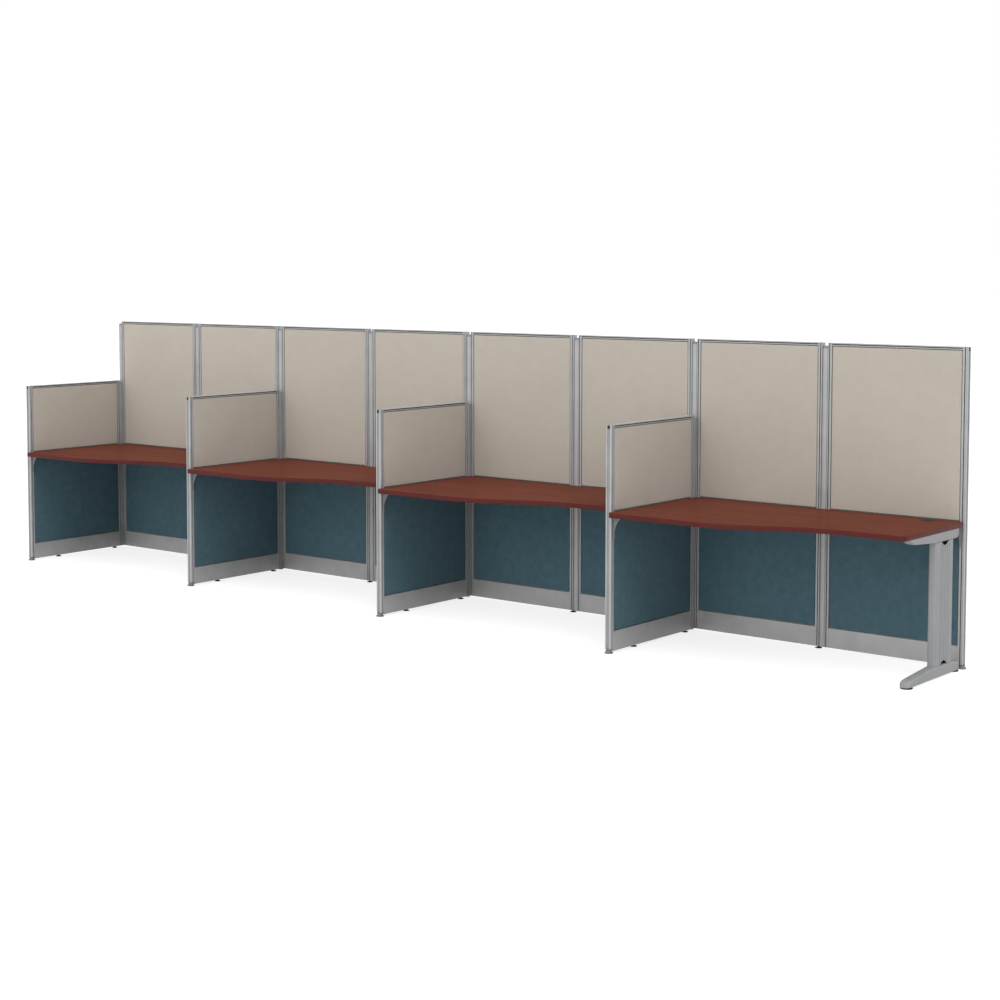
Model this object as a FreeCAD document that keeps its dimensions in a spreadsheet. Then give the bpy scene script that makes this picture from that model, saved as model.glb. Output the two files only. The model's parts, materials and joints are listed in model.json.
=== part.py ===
import FreeCAD, Part
import math
import os

import Sketcher
from FreeCAD import Placement, Rotation, Vector

# A row of four cubicle workstations: eight tall screens in a line, four low screens
# square to them, a curved worksurface in each bay and a C-shaped leg at the right end.
# Millimetres, +Z up, +X along the row, +Y to its back. The origin is on the floor,
# under the middle of the whole row.

# How many stations the row has, and how many tall screens each one spans.
station_total = 4
screens_per_station = 2
screen_total = station_total * screens_per_station

# Flutes down the leg's cover.
flute_total = 5

driving_sizes = [
    # The tall and the low screens.
    ("panel_width", 762, "a tall screen, over both stiles"),
    ("wall_height", 1600, "top of the tall screens"),
    ("return_height", 1184, "top of the low screens"),
    ("return_reach", 802, "front end of a low screen, from the tall screens' face"),
    ("panel_thickness", 36, "both kinds of screen"),
    ("floor_gap", 11, "floor to the underside of frames and kick plates"),
    ("stile_width", 22, "upright of a frame"),
    ("stile_corner", 2, "bevel on a stile's outer corners"),
    ("stile_groove_inset", 6.5, "stile's outer edge to its groove"),
    ("face_groove_width", 5, "groove along stiles and top rails"),
    ("face_groove_depth", 7, "the same groove"),
    ("top_rail_height", 15, "top rail of a frame"),
    ("mid_rail_height", 30, "bar behind the joint of the boards"),
    ("base_rail_height", 50, "bar behind the kick plates"),
    ("base_rail_thickness", 20, "the same bar"),
    ("base_rail_lift", 45, "floor to the underside of the same bar"),
    ("lip_reach", 10, "lip behind a board's edge"),
    ("board_thickness", 12, "fabric board"),
    ("board_recess", 1.5, "board behind the frame's face"),
    ("board_edge_gap", 4, "shadow gap round a board"),
    ("split_gap", 4, "gap between the lower and the upper board, above the worksurface"),
    ("board_seat_gap", 0.3, "board clear of its lip"),
    ("board_round", 2, "rounding of a board's face edges"),
    ("kick_height", 104, "kick plate"),
    ("kick_recess", 0.5, "kick plate behind the frame's face"),
    ("kick_wall", 2, "sheet of a kick plate"),
    ("kick_end_gap", 0.5, "kick plate clear of each stile"),
    ("kick_round", 1.2, "rounding of a kick plate's long edges"),
    ("fit_gap", 0.2, "clearance between fixed pieces"),
    # Posts, covers and caps.
    ("connector_width", 34, "post between two tall screens"),
    ("connector_depth", 34, "the same post, front to back"),
    ("connector_corner", 11, "rounding of the same post"),
    ("connector_drop", 16, "post and cap below the screens' top"),
    ("connector_cap_height", 14, "cap on the same post"),
    ("connector_cap_inset", 1, "cap inside the post's sides"),
    ("tee_depth", 21, "low screen's back end, from the tall screens' face"),
    ("end_cover_depth", 6, "cover on a screen's free end"),
    ("end_cover_corner", 4.5, "rounding of the same cover"),
    ("end_channel_width", 16, "channel down the middle of the same cover"),
    ("end_channel_depth", 3, "the same channel"),
    ("end_cap_height", 15, "cap in the channel"),
    ("end_cap_drop", 5, "the same cap below the screen's top"),
    # Worksurfaces.
    ("surface_top", 736.6, "top of a worksurface"),
    ("surface_thickness", 25, "worksurface"),
    ("surface_overhang", 38, "worksurface's deep left part, less the low screens' reach"),
    ("surface_short_depth", 640, "worksurface at its right part"),
    ("surface_curve_start", 500, "its left edge to the start of the curve"),
    ("surface_curve_run", 760, "length of the curve along the row"),
    ("surface_corner", 25, "its rounded corners in plan"),
    ("surface_side_gap", 0.5, "clear of the low screens"),
    ("surface_wall_gap", 0.5, "clear of the tall screens"),
    ("last_surface_stop", 15, "last worksurface's edge short of the last joint"),
    ("edge_band_thickness", 2, "band round a worksurface"),
    ("edge_band_seat_gap", 0.1, "glue line behind the band"),
    # Cable grommets in the worksurfaces.
    ("grommet_side_inset", 164, "grommet from the worksurface's right edge"),
    ("grommet_back_inset", 68, "grommet from the worksurface's back edge"),
    ("grommet_hole_radius", 34, "hole in the worksurface"),
    ("grommet_flange_radius", 39, "flange of the liner, let into the worksurface"),
    ("grommet_flange_height", 2.5, "the same flange, and the rebate that it fills"),
    ("grommet_liner_wall", 3.6, "tube of the liner"),
    ("grommet_ledge_reach", 3, "ledge that carries the cap"),
    ("grommet_ledge_drop", 4.5, "ledge below the worksurface's top"),
    ("grommet_bevel", 0.8, "bevel on the flange and the cap"),
    # Fin brackets under the worksurfaces.
    ("fin_reach", 47, "fin along the worksurface"),
    ("fin_height", 111, "fin down the screen"),
    ("fin_nose", 8, "fin's end under the worksurface"),
    ("fin_toe", 12, "fin's width at its foot"),
    ("fin_thickness", 4, "plate"),
    # The C-shaped leg.
    ("leg_inset", 38, "middle of the leg from the last joint"),
    ("column_width", 45, "leg's column along the row, over its cover"),
    ("column_depth", 193, "leg's column, front to back"),
    ("column_setback", 110, "tall screens' face to the back of the column"),
    ("column_wall", 4, "channel of the column"),
    ("column_corner", 16, "rounding of the column"),
    ("column_cover_depth", 17, "snap-on cover of the column"),
    ("column_cover_wall", 4, "sheet of the same cover"),
    ("column_cover_corner", 15, "rounding of the cover"),
    ("flute_width", 6, "flute down the cover"),
    ("flute_depth", 2, "the same flute"),
    ("flute_spacing", 22, "one flute to the next"),
    ("port_radius", 47, "arc of a cable port in the cover"),
    ("port_height", 20, "the same port"),
    ("arm_width", 45, "arm under the worksurface"),
    ("arm_reach", 590, "tall screens' face to the arm's front end"),
    ("arm_setback", 58, "tall screens' face to the arm's back end"),
    ("arm_depth", 45, "arm at the column"),
    ("arm_nose", 27.5, "arm behind its rising tip"),
    ("arm_nose_run", 57, "length of the same tip"),
    ("arm_tip", 3, "arm at its front end"),
    ("arm_heel", 27, "arm at its back end"),
    ("arm_chamfer", 3, "bevel on the arm's lower edges"),
    ("foot_width", 55, "foot of the leg"),
    ("foot_reach", 590, "tall screens' face to the toe"),
    ("foot_setback", 24, "tall screens' face to the heel"),
    ("foot_lift", 8, "underside of the foot"),
    ("foot_crown", 60, "top of the foot at the column"),
    ("foot_toe_height", 42, "top of the foot behind the toe"),
    ("foot_toe_run", 58, "length of the toe's slope"),
    ("foot_toe_base", 14, "top of the toe at its end"),
    ("foot_plan_radius", 26, "rounding of the toe and the heel, seen from above"),
    ("foot_crest_radius", 9, "rounding along the top of the foot"),
    ("foot_heel_height", 50, "top of the foot behind the heel"),
    ("foot_heel_radius", 18, "rounding of the heel, seen from the side"),
    # Levelling feet and glides.
    ("level_foot_radius", 18, "base of a levelling foot"),
    ("level_foot_base", 3, "thickness of the same base"),
    ("level_foot_neck", 7, "top of its cone"),
    ("level_foot_nut_radius", 7.5, "its nut, over the corners"),
    ("level_foot_nut_top", 10.5, "top of its nut"),
    ("foot_stem_radius", 4, "threaded stem"),
    ("foot_stem_top", 80, "top of the stem"),
    ("stem_running_gap", 0.05, "stem in its bore"),
    ("stem_end_gap", 2, "bore beyond the stem"),
    ("wall_foot_inset", 7, "foot from the end of a tall screen"),
    ("shoe_inset", 11, "shoe under a screen's free end, from the end cover's face"),
    ("shoe_radius", 22, "base of the same shoe"),
    ("shoe_base", 5, "thickness of its base"),
    ("shoe_neck_radius", 16, "its neck"),
    ("shoe_neck", 10, "floor to the start of its neck"),
    ("shoe_top", 22, "its height"),
    ("shoe_seat_gap", 0.5, "clear of the stile above"),
    ("mid_foot_reach", 565, "low screen's middle foot, from the tall screens' face"),
    ("rear_foot_reach", 72, "low screen's rear foot, from the tall screens' face"),
    ("glide_radius", 30, "glide under the leg"),
    ("glide_base", 5, "thickness of the same glide"),
    ("glide_neck", 7.5, "top of its cone"),
    ("glide_neck_radius", 16, "cone at its top"),
    ("glide_stem_top", 30, "top of its stem"),
    ("glide_front_reach", 554, "front glide, from the tall screens' face"),
    ("glide_rear_reach", 56, "rear glide, from the tall screens' face"),
]

doc = FreeCAD.newDocument("cubicle_workstations")
sheet = doc.addObject("Spreadsheet::Sheet", "sizes")


class Size:
    # A length or a ratio that holds both its formula and its present value.
    def __init__(self, formula, value):
        self.formula = formula
        self.value = value

    def __add__(self, other):
        return combine(self, "+", other, self.value + value_of(other))

    def __sub__(self, other):
        return combine(self, "-", other, self.value - value_of(other))

    def __mul__(self, other):
        return combine(self, "*", other, self.value * value_of(other))

    def __truediv__(self, other):
        return combine(self, "/", other, self.value / value_of(other))

    def __radd__(self, other):
        return combine(other, "+", self, other + self.value)

    def __rsub__(self, other):
        return combine(other, "-", self, other - self.value)

    def __neg__(self):
        return Size(f"(0 - {self.formula})", -self.value)


class Dimensions:
    # The driving sizes by name.
    pass


def value_of(size):
    return size.value if isinstance(size, Size) else size


def formula_of(size):
    return size.formula if isinstance(size, Size) else repr(size)


def combine(left, sign, right, value):
    return Size(f"({formula_of(left)} {sign} {formula_of(right)})", value)


def bind(feature, place, size):
    # Ties one property of a feature to a size.
    if isinstance(size, Size):
        feature.setExpression(place, size.formula)


def fill_sheet():
    dimensions = Dimensions()
    for row, (name, value, note) in enumerate(driving_sizes, start=1):
        sheet.set(f"A{row}", name)
        sheet.set(f"B{row}", str(value))
        sheet.set(f"C{row}", note)
        sheet.setAlias(f"B{row}", name)
        setattr(dimensions, name, Size(f"{sheet.Name}.{name}", value))
    return dimensions


dim = fill_sheet()
doc.recompute()

# Sizes that follow from the driving ones.
pitch = dim.panel_width + dim.connector_width
end_past_joint = dim.end_cover_depth - dim.connector_width / 2
row_length = pitch * screen_total + end_past_joint - dim.shoe_inset + dim.shoe_radius * 2
first_joint = dim.shoe_radius - row_length / 2
surface_depth = dim.return_reach + dim.surface_overhang
half_thickness = dim.panel_thickness / 2
row_depth = dim.shoe_radius + half_thickness + dim.surface_wall_gap + surface_depth
wall_middle = row_depth / 2 - dim.shoe_radius
wall_face = wall_middle - half_thickness
shoe_bore_inset = dim.shoe_inset - dim.end_cover_depth
shoe_seat = dim.shoe_top + dim.shoe_seat_gap
half_lip = (
    half_thickness - dim.board_recess - dim.board_thickness - dim.board_seat_gap
)
kick_top = dim.floor_gap + dim.kick_height
base_lip_top = kick_top + dim.board_edge_gap + dim.lip_reach
return_length = dim.return_reach - dim.end_cover_depth - dim.tee_depth
connector_recess = (dim.panel_thickness - dim.connector_depth) / 2
surface_underside = dim.surface_top - dim.surface_thickness
split_height = dim.surface_top + dim.split_gap / 2
stem_bore_radius = dim.foot_stem_radius + dim.stem_running_gap
stem_bore_top = dim.foot_stem_top + dim.stem_end_gap


def joint_place(number):
    # Places along the row are counted from its left end, in screens.
    return first_joint + pitch * number


def row_end():
    # The face of the end cover at the row's right end.
    return joint_place(screen_total) + end_past_joint


def in_front_of_wall(distance):
    return wall_face - distance


# Bodies, sketches and features.


def new_body(name):
    return doc.addObject("PartDesign::Body", name)


def origin_plane(body, role):
    for feature in body.Origin.OriginFeatures:
        if feature.Role == role:
            return feature
    raise ValueError(role)


def new_sketch(body, name, role, offset):
    sketch = body.newObject("Sketcher::SketchObject", f"{body.Name}_{name}")
    sketch.AttachmentSupport = [(origin_plane(body, role), "")]
    sketch.MapMode = "FlatFace"
    bind(sketch, "AttachmentOffset.Base.z", offset)
    return sketch


def flat_point(corner):
    return Vector(value_of(corner[0]), value_of(corner[1]), 0)


def arc_between(start, end, radius, turn):
    # The short arc from start to end. It turns left where turn is 1, right where it is -1.
    chord = end - start
    rise = math.sqrt(max(radius**2 - (chord.Length / 2) ** 2, 0))
    across = Vector(-chord.y, chord.x, 0).normalize()
    centre = (start + end) * 0.5 + across * (rise * turn)
    first, last = (start, end) if turn > 0 else (end, start)
    circle = Part.Circle(centre, Vector(0, 0, 1), radius)
    return Part.ArcOfCircle(circle, circle.parameter(first), circle.parameter(last))


def hold_point(sketch, label, geometry, position, corner):
    # Ties a point's two coordinates to their sizes.
    kinds = (("x", "DistanceX", -2), ("y", "DistanceY", -1))
    for (axis, kind, zero_axis), size in zip(kinds, corner):
        if not isinstance(size, Size):
            sketch.addConstraint(
                Sketcher.Constraint("PointOnObject", geometry, position, zero_axis)
            )
            continue
        number = sketch.addConstraint(
            Sketcher.Constraint(kind, -1, 1, geometry, position, size.value)
        )
        sketch.renameConstraint(number, f"{label}_{axis}")
        bind(sketch, f"Constraints.{label}_{axis}", size)


def add_outline(sketch, corners):
    # A closed outline. A corner is (x, y), or (x, y, radius, turn) where an arc leaves it.
    ends = []
    for index, corner in enumerate(corners):
        start = flat_point(corner)
        end = flat_point(corners[(index + 1) % len(corners)])
        if len(corner) == 2:
            sketch.addGeometry(Part.LineSegment(start, end))
            ends.append((1, 2))
        else:
            radius, turn = corner[2:]
            sketch.addGeometry(arc_between(start, end, value_of(radius), turn))
            ends.append((1, 2) if turn > 0 else (2, 1))
    for index, corner in enumerate(corners):
        following = (index + 1) % len(corners)
        sketch.addConstraint(
            Sketcher.Constraint(
                "Coincident", index, ends[index][1], following, ends[following][0]
            )
        )
    for index, corner in enumerate(corners):
        hold_point(sketch, f"corner_{index}", index, ends[index][0], corner[:2])
        if len(corner) > 2:
            number = sketch.addConstraint(
                Sketcher.Constraint("Radius", index, value_of(corner[2]))
            )
            sketch.renameConstraint(number, f"radius_{index}")
            bind(sketch, f"Constraints.radius_{index}", corner[2])


def add_circle(sketch, centre, radius):
    circle = Part.Circle(flat_point(centre), Vector(0, 0, 1), value_of(radius))
    geometry = sketch.addGeometry(circle)
    number = sketch.addConstraint(
        Sketcher.Constraint("Radius", geometry, value_of(radius))
    )
    sketch.renameConstraint(number, f"radius_{geometry}")
    bind(sketch, f"Constraints.radius_{geometry}", radius)
    hold_point(sketch, f"centre_{geometry}", geometry, 3, centre)


def pad(body, name, role, corners, length, offset=0):
    sketch = new_sketch(body, f"{name}_outline", role, offset)
    add_outline(sketch, corners)
    feature = body.newObject("PartDesign::Pad", f"{body.Name}_{name}")
    feature.Profile = sketch
    bind(feature, "Length", length)
    return feature


def bore_up(body, name, centre, radius, top):
    # A round hole from the floor's level up to its top.
    sketch = new_sketch(body, f"{name}_circle", "XY_Plane", 0)
    add_circle(sketch, centre, radius)
    feature = body.newObject("PartDesign::Pocket", f"{body.Name}_{name}")
    feature.Profile = sketch
    feature.Reversed = True
    bind(feature, "Length", top)
    return feature


def spin(body, name, corners):
    # A round solid about +Z from its half section.
    sketch = new_sketch(body, f"{name}_section", "XZ_Plane", 0)
    add_outline(sketch, corners)
    feature = body.newObject("PartDesign::Revolution", f"{body.Name}_{name}")
    feature.Profile = sketch
    feature.ReferenceAxis = (sketch, ["V_Axis"])
    feature.Angle = 360
    return feature


def round_edges(body, name, kind, radius, chosen):
    # A fillet or a chamfer on the edges that the test chooses.
    doc.recompute()
    base = body.Tip
    edges = [
        f"Edge{number}"
        for number, edge in enumerate(base.Shape.Edges, start=1)
        if chosen(edge)
    ]
    feature = body.newObject(f"PartDesign::{kind}", f"{body.Name}_{name}")
    feature.Base = (base, edges)
    bind(feature, "Radius" if kind == "Fillet" else "Size", radius)
    return feature


def same(first, second):
    return abs(first - second) < 1e-6


def edge_lies(edge, axis, size):
    # True where every point of the edge has this coordinate.
    box = edge.BoundBox
    low, high = getattr(box, f"{axis}Min"), getattr(box, f"{axis}Max")
    return abs(low - value_of(size)) < 1e-4 and abs(high - value_of(size)) < 1e-4


# Copies, groups and the named pieces.

pieces = []


def put(feature, x=0, y=0, z=0, turn=0):
    base = Vector(value_of(x), value_of(y), value_of(z))
    feature.Placement = Placement(base, Rotation(Vector(0, 0, 1), turn))
    for axis, size in zip("xyz", (x, y, z)):
        bind(feature, f"Placement.Base.{axis}", size)
    return feature


def placed(source, x=0, y=0, z=0, turn=0):
    copy = doc.addObject("Part::Compound", f"{source.Name}_at")
    copy.Links = [source]
    return put(copy, x, y, z, turn)


def group(name, members):
    compound = doc.addObject("Part::Compound", name)
    compound.Links = members
    return compound


def name_piece(feature, label):
    feature.Label = label
    pieces.append(feature)
    return feature


def facing_pair(body, width):
    # The same member on a screen's front and, turned round, on its back.
    return [placed(body), placed(body, x=width, turn=180)]


def box_corners(left, right, low, high):
    return [(left, low), (right, low), (right, high), (left, high)]


# Frame members. A screen's own frame: x along it from its first end, y = 0 in its
# middle, z from the floor.


def make_stile(name, bottom, height, bore_inset):
    body = new_body(name)
    width = dim.stile_width
    bevel = dim.stile_corner
    groove_start = dim.stile_groove_inset
    groove_end = groove_start + dim.face_groove_width
    groove_floor = half_thickness - dim.face_groove_depth
    outline = [
        (bevel, -half_thickness),
        (groove_start, -half_thickness),
        (groove_start, -groove_floor),
        (groove_end, -groove_floor),
        (groove_end, -half_thickness),
        (width, -half_thickness),
        (width, half_thickness),
        (groove_end, half_thickness),
        (groove_end, groove_floor),
        (groove_start, groove_floor),
        (groove_start, half_thickness),
        (bevel, half_thickness),
        (0, half_thickness - bevel),
        (0, bevel - half_thickness),
    ]
    pad(body, "upright", "XY_Plane", outline, height - bottom, bottom)
    lip = box_corners(width, width + dim.lip_reach, -half_lip, half_lip)
    lip_top = height - dim.top_rail_height - dim.lip_reach
    pad(body, "lip", "XY_Plane", lip, lip_top - base_lip_top, base_lip_top)
    if bore_inset is not None:
        bore_up(body, "bore", (bore_inset, 0), stem_bore_radius, stem_bore_top)
    return body


def make_top_rail(name, width, height):
    body = new_body(name)
    low = height - dim.top_rail_height
    groove_low = height - (dim.top_rail_height + dim.face_groove_width) / 2
    groove_high = groove_low + dim.face_groove_width
    groove_floor = half_thickness - dim.face_groove_depth
    outline = [
        (-half_lip, low - dim.lip_reach),
        (half_lip, low - dim.lip_reach),
        (half_lip, low),
        (half_thickness, low),
        (half_thickness, groove_low),
        (groove_floor, groove_low),
        (groove_floor, groove_high),
        (half_thickness, groove_high),
        (half_thickness, height - dim.stile_corner),
        (half_thickness - dim.stile_corner, height),
        (dim.stile_corner - half_thickness, height),
        (-half_thickness, height - dim.stile_corner),
        (-half_thickness, groove_high),
        (-groove_floor, groove_high),
        (-groove_floor, groove_low),
        (-half_thickness, groove_low),
        (-half_thickness, low),
        (-half_lip, low),
    ]
    length = width - dim.stile_width * 2
    pad(body, "bar", "YZ_Plane", outline, length, dim.stile_width)
    return body


def make_mid_rail(name, width):
    body = new_body(name)
    low = split_height - dim.mid_rail_height / 2
    start = dim.stile_width + dim.lip_reach
    outline = box_corners(-half_lip, half_lip, low, low + dim.mid_rail_height)
    pad(body, "bar", "YZ_Plane", outline, width - start * 2, start)
    return body


def make_base_rail(name, width, foot_places):
    body = new_body(name)
    half_bar = dim.base_rail_thickness / 2
    low = dim.base_rail_lift
    high = low + dim.base_rail_height
    outline = [
        (-half_bar, low),
        (half_bar, low),
        (half_bar, high),
        (half_lip, high),
        (half_lip, base_lip_top),
        (-half_lip, base_lip_top),
        (-half_lip, high),
        (-half_bar, high),
    ]
    length = width - dim.stile_width * 2
    pad(body, "bar", "YZ_Plane", outline, length, dim.stile_width)
    for number, place in enumerate(foot_places, start=1):
        centre = (place, 0)
        bore_up(body, f"bore_{number}", centre, stem_bore_radius, stem_bore_top)
    return body


def make_board(name, width, low, high):
    body = new_body(name)
    face = dim.board_recess - half_thickness
    start = dim.stile_width + dim.board_edge_gap
    outline = box_corners(start, width - start, face, face + dim.board_thickness)
    pad(body, "board", "XY_Plane", outline, high - low, low)
    round_edges(
        body, "rounding", "Fillet", dim.board_round, lambda edge: edge_lies(edge, "Y", face)
    )
    return body


def make_kick_plate(name, width):
    # A shallow channel: a face sheet with a flange along its top and its bottom.
    body = new_body(name)
    face = dim.kick_recess - half_thickness
    back = -half_lip - dim.board_seat_gap
    low = dim.floor_gap
    outline = [
        (face, low),
        (back, low),
        (back, low + dim.kick_wall),
        (face + dim.kick_wall, low + dim.kick_wall),
        (face + dim.kick_wall, kick_top - dim.kick_wall),
        (back, kick_top - dim.kick_wall),
        (back, kick_top),
        (face, kick_top),
    ]
    start = dim.stile_width + dim.kick_end_gap
    pad(body, "sheet", "YZ_Plane", outline, width - start * 2, start)
    length = value_of(width - start * 2)
    round_edges(
        body,
        "rounding",
        "Fillet",
        dim.kick_round,
        lambda edge: edge_lies(edge, "Y", face) and same(edge.Length, length),
    )
    return body


def make_screen(kind, width, height, stiles, foot_places):
    # The members of one kind of screen, in groups that copies are made of. It has one
    # frame for each pair of stiles.
    upper_low = split_height + dim.split_gap / 2
    upper_high = height - dim.top_rail_height - dim.board_edge_gap
    lower_low = kick_top + dim.board_edge_gap
    lower_high = split_height - dim.split_gap / 2
    rails = [
        make_top_rail(f"{kind}_top_rail", width, height),
        make_mid_rail(f"{kind}_mid_rail", width),
        make_base_rail(f"{kind}_base_rail", width, foot_places),
    ]
    frames = []
    for first, last in stiles:
        uprights = [placed(first), placed(last, x=width, turn=180)]
        frames.append(group(f"{kind}_frame", uprights + rails))
    upper = make_board(f"{kind}_upper_board", width, upper_low, upper_high)
    lower = make_board(f"{kind}_lower_board", width, lower_low, lower_high)
    kick = make_kick_plate(f"{kind}_kick_plate", width)
    return {
        "frames": frames,
        "upper": group(f"{kind}_upper_boards", facing_pair(upper, width)),
        "lower": group(f"{kind}_lower_boards", facing_pair(lower, width)),
        "kick": group(f"{kind}_kick_plates", facing_pair(kick, width)),
    }


def make_wall_screen():
    # It has a foot under its last stile. The screen or the low screen before it carries
    # its first one. The row's last stile stands on a shoe.
    low, height = dim.floor_gap, dim.wall_height
    first = make_stile("wall_first_stile", low, height, None)
    last = make_stile("wall_last_stile", low, height, dim.wall_foot_inset)
    end = make_stile("wall_end_stile", shoe_seat, height, shoe_bore_inset)
    stiles = [(first, last), (first, end)]
    return make_screen("wall", dim.panel_width, height, stiles, [])


def make_return_screen():
    # Its first end is its front end. Two of its feet stand under its base rail.
    height = dim.return_height
    front = make_stile("return_front_stile", shoe_seat, height, shoe_bore_inset)
    rear = make_stile("return_rear_stile", dim.floor_gap, height, None)
    front_end = dim.return_reach - dim.end_cover_depth
    feet = [front_end - dim.mid_foot_reach, front_end - dim.rear_foot_reach]
    return make_screen("return", return_length, height, [(front, rear)], feet)


def place_screens(wall, low):
    # Each station has two tall screens and the low screen at their left end.
    names = {
        "upper": "upper_boards",
        "lower": "lower_boards",
        "kick": "kick_plates",
    }
    front_end = in_front_of_wall(dim.return_reach - dim.end_cover_depth)
    for station in range(station_total):
        joint = station * screens_per_station
        starts = [
            joint_place(joint + number) + dim.connector_width / 2
            for number in range(screens_per_station)
        ]
        masters = [wall["frames"][0]] * screens_per_station
        if station == station_total - 1:
            masters[-1] = wall["frames"][1]
        frames = [placed(frame, x, wall_middle) for frame, x in zip(masters, starts)]
        name_piece(group("back_frames", frames), f"back_frames_{station + 1}")
        side = placed(low["frames"][0], joint_place(joint), front_end, turn=90)
        name_piece(group("side_frame", [side]), f"side_frame_{station + 1}")
        for key, label in names.items():
            members = [placed(wall[key], x, wall_middle) for x in starts]
            members.append(placed(low[key], joint_place(joint), front_end, turn=90))
            name_piece(group(label, members), f"{label}_{station + 1}")


# Posts, covers and caps.


def rounded_corners(left, right, low, high, radius):
    # A rectangle with four rounded corners, counter-clockwise.
    return [
        (left + radius, low),
        (right - radius, low, radius, 1),
        (right, low + radius),
        (right, high - radius, radius, 1),
        (right - radius, high),
        (left + radius, high, radius, 1),
        (left, high - radius),
        (left, low + radius, radius, 1),
    ]


def joints_between_screens():
    # The last joint has an end cover in place of a post.
    return [joint_place(number) for number in range(screen_total)]


def joints_with_returns():
    return [joint_place(station * screens_per_station) for station in range(station_total)]


def make_connectors():
    half_width = dim.connector_width / 2 - dim.fit_gap
    half_depth = dim.connector_depth / 2
    top = dim.wall_height - dim.connector_drop
    post_top = top - dim.connector_cap_height
    post = new_body("connector_post")
    outline = rounded_corners(
        -half_width, half_width, -half_depth, half_depth, dim.connector_corner
    )
    pad(post, "post", "XY_Plane", outline, post_top - dim.floor_gap, dim.floor_gap)
    inset = dim.connector_cap_inset
    cap = new_body("connector_cap")
    outline = rounded_corners(
        inset - half_width,
        half_width - inset,
        inset - half_depth,
        half_depth - inset,
        dim.connector_corner - inset,
    )
    pad(cap, "cap", "XY_Plane", outline, dim.connector_cap_height, post_top)
    for body, label in ((post, "connector_posts"), (cap, "connector_caps")):
        copies = [placed(body, x, wall_middle) for x in joints_between_screens()]
        name_piece(group(label, copies), label)


def make_tee_posts():
    # The post between a tall screen's connector and a low screen's back end.
    body = new_body("tee_post")
    half_width = dim.connector_width / 2 - dim.fit_gap
    outline = box_corners(
        -half_width,
        half_width,
        dim.fit_gap - dim.tee_depth,
        connector_recess - dim.fit_gap,
    )
    top = dim.return_height - dim.connector_drop
    pad(body, "post", "XY_Plane", outline, top - dim.floor_gap, dim.floor_gap)
    copies = [placed(body, x, wall_face) for x in joints_with_returns()]
    name_piece(group("tee_posts", copies), "tee_posts")


def make_end_cover(name, low, high):
    # A cover with rounded front corners and a channel down its middle, and the cap that
    # closes the channel near its top.
    depth = dim.end_cover_depth
    corner = dim.end_cover_corner
    half_channel = dim.end_channel_width / 2
    floor = dim.end_channel_depth
    cover = new_body(f"{name}_cover")
    outline = [
        (corner - half_thickness, 0),
        (-half_channel, 0),
        (-half_channel, floor),
        (half_channel, floor),
        (half_channel, 0),
        (half_thickness - corner, 0, corner, 1),
        (half_thickness, corner),
        (half_thickness, depth),
        (-half_thickness, depth),
        (-half_thickness, corner, corner, 1),
    ]
    pad(cover, "cover", "XY_Plane", outline, high - low, low)
    cap = new_body(f"{name}_cap")
    reach = half_channel - dim.fit_gap
    outline = box_corners(-reach, reach, 0, floor - dim.fit_gap)
    cap_low = high - dim.end_cap_drop - dim.end_cap_height
    pad(cap, "cap", "XY_Plane", outline, dim.end_cap_height, cap_low)
    return cover, cap


def make_end_covers():
    # One on each low screen's front end, and a taller one on the row's right end.
    front = make_end_cover("front", shoe_seat, dim.return_height)
    right = make_end_cover("right", shoe_seat, dim.wall_height)
    front_end = in_front_of_wall(dim.return_reach)
    for low, tall, label in zip(front, right, ("end_covers", "end_caps")):
        copies = [placed(low, x, front_end) for x in joints_with_returns()]
        copies.append(placed(tall, row_end(), wall_middle, turn=90))
        name_piece(group(label, copies), label)


# Worksurfaces. Their own frame: x from the left edge, y = 0 at the back edge, and
# the front towards -y.


def surface_outline(width, inset):
    # The edge runs parallel to the true outline, inset from it. The curve is two equal
    # arcs, one turning left and one turning right, that meet at its middle.
    half_run = dim.surface_curve_run / 2
    half_rise = (surface_depth - dim.surface_short_depth) / 2
    radius = (half_run * half_run + half_rise * half_rise) / (half_rise * 2)
    lean = half_run / radius
    upright = (radius - half_rise) / radius
    start = dim.surface_curve_start
    corner = dim.surface_corner
    front = inset - surface_depth
    short_front = inset - dim.surface_short_depth
    right = width - inset
    back = -inset
    left = inset
    tight = corner - inset
    return [
        (left, corner - surface_depth, tight, 1),
        (corner, front),
        (start, front, radius - inset, 1),
        (
            start + half_run - lean * inset,
            half_rise - surface_depth + upright * inset,
            radius + inset,
            -1,
        ),
        (start + dim.surface_curve_run, short_front),
        (width - corner, short_front, tight, 1),
        (right, corner - dim.surface_short_depth),
        (right, -corner, tight, 1),
        (width - corner, back),
        (left, back),
    ]


def make_worksurface(name, width):
    body = new_body(name)
    inset = dim.edge_band_thickness + dim.edge_band_seat_gap
    sketch = new_sketch(body, "outline", "XY_Plane", surface_underside)
    add_outline(sketch, surface_outline(width, inset))
    centre = (width - dim.grommet_side_inset, -dim.grommet_back_inset)
    add_circle(sketch, centre, dim.grommet_hole_radius)
    board = body.newObject("PartDesign::Pad", f"{name}_board")
    board.Profile = sketch
    bind(board, "Length", dim.surface_thickness)
    floor = dim.surface_top - dim.grommet_flange_height
    rim = new_sketch(body, "rebate_outline", "XY_Plane", floor)
    add_circle(rim, centre, dim.grommet_flange_radius + dim.fit_gap)
    rebate = body.newObject("PartDesign::Pocket", f"{name}_rebate")
    rebate.Profile = rim
    rebate.Reversed = True
    bind(rebate, "Length", dim.grommet_flange_height)
    return body


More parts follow.
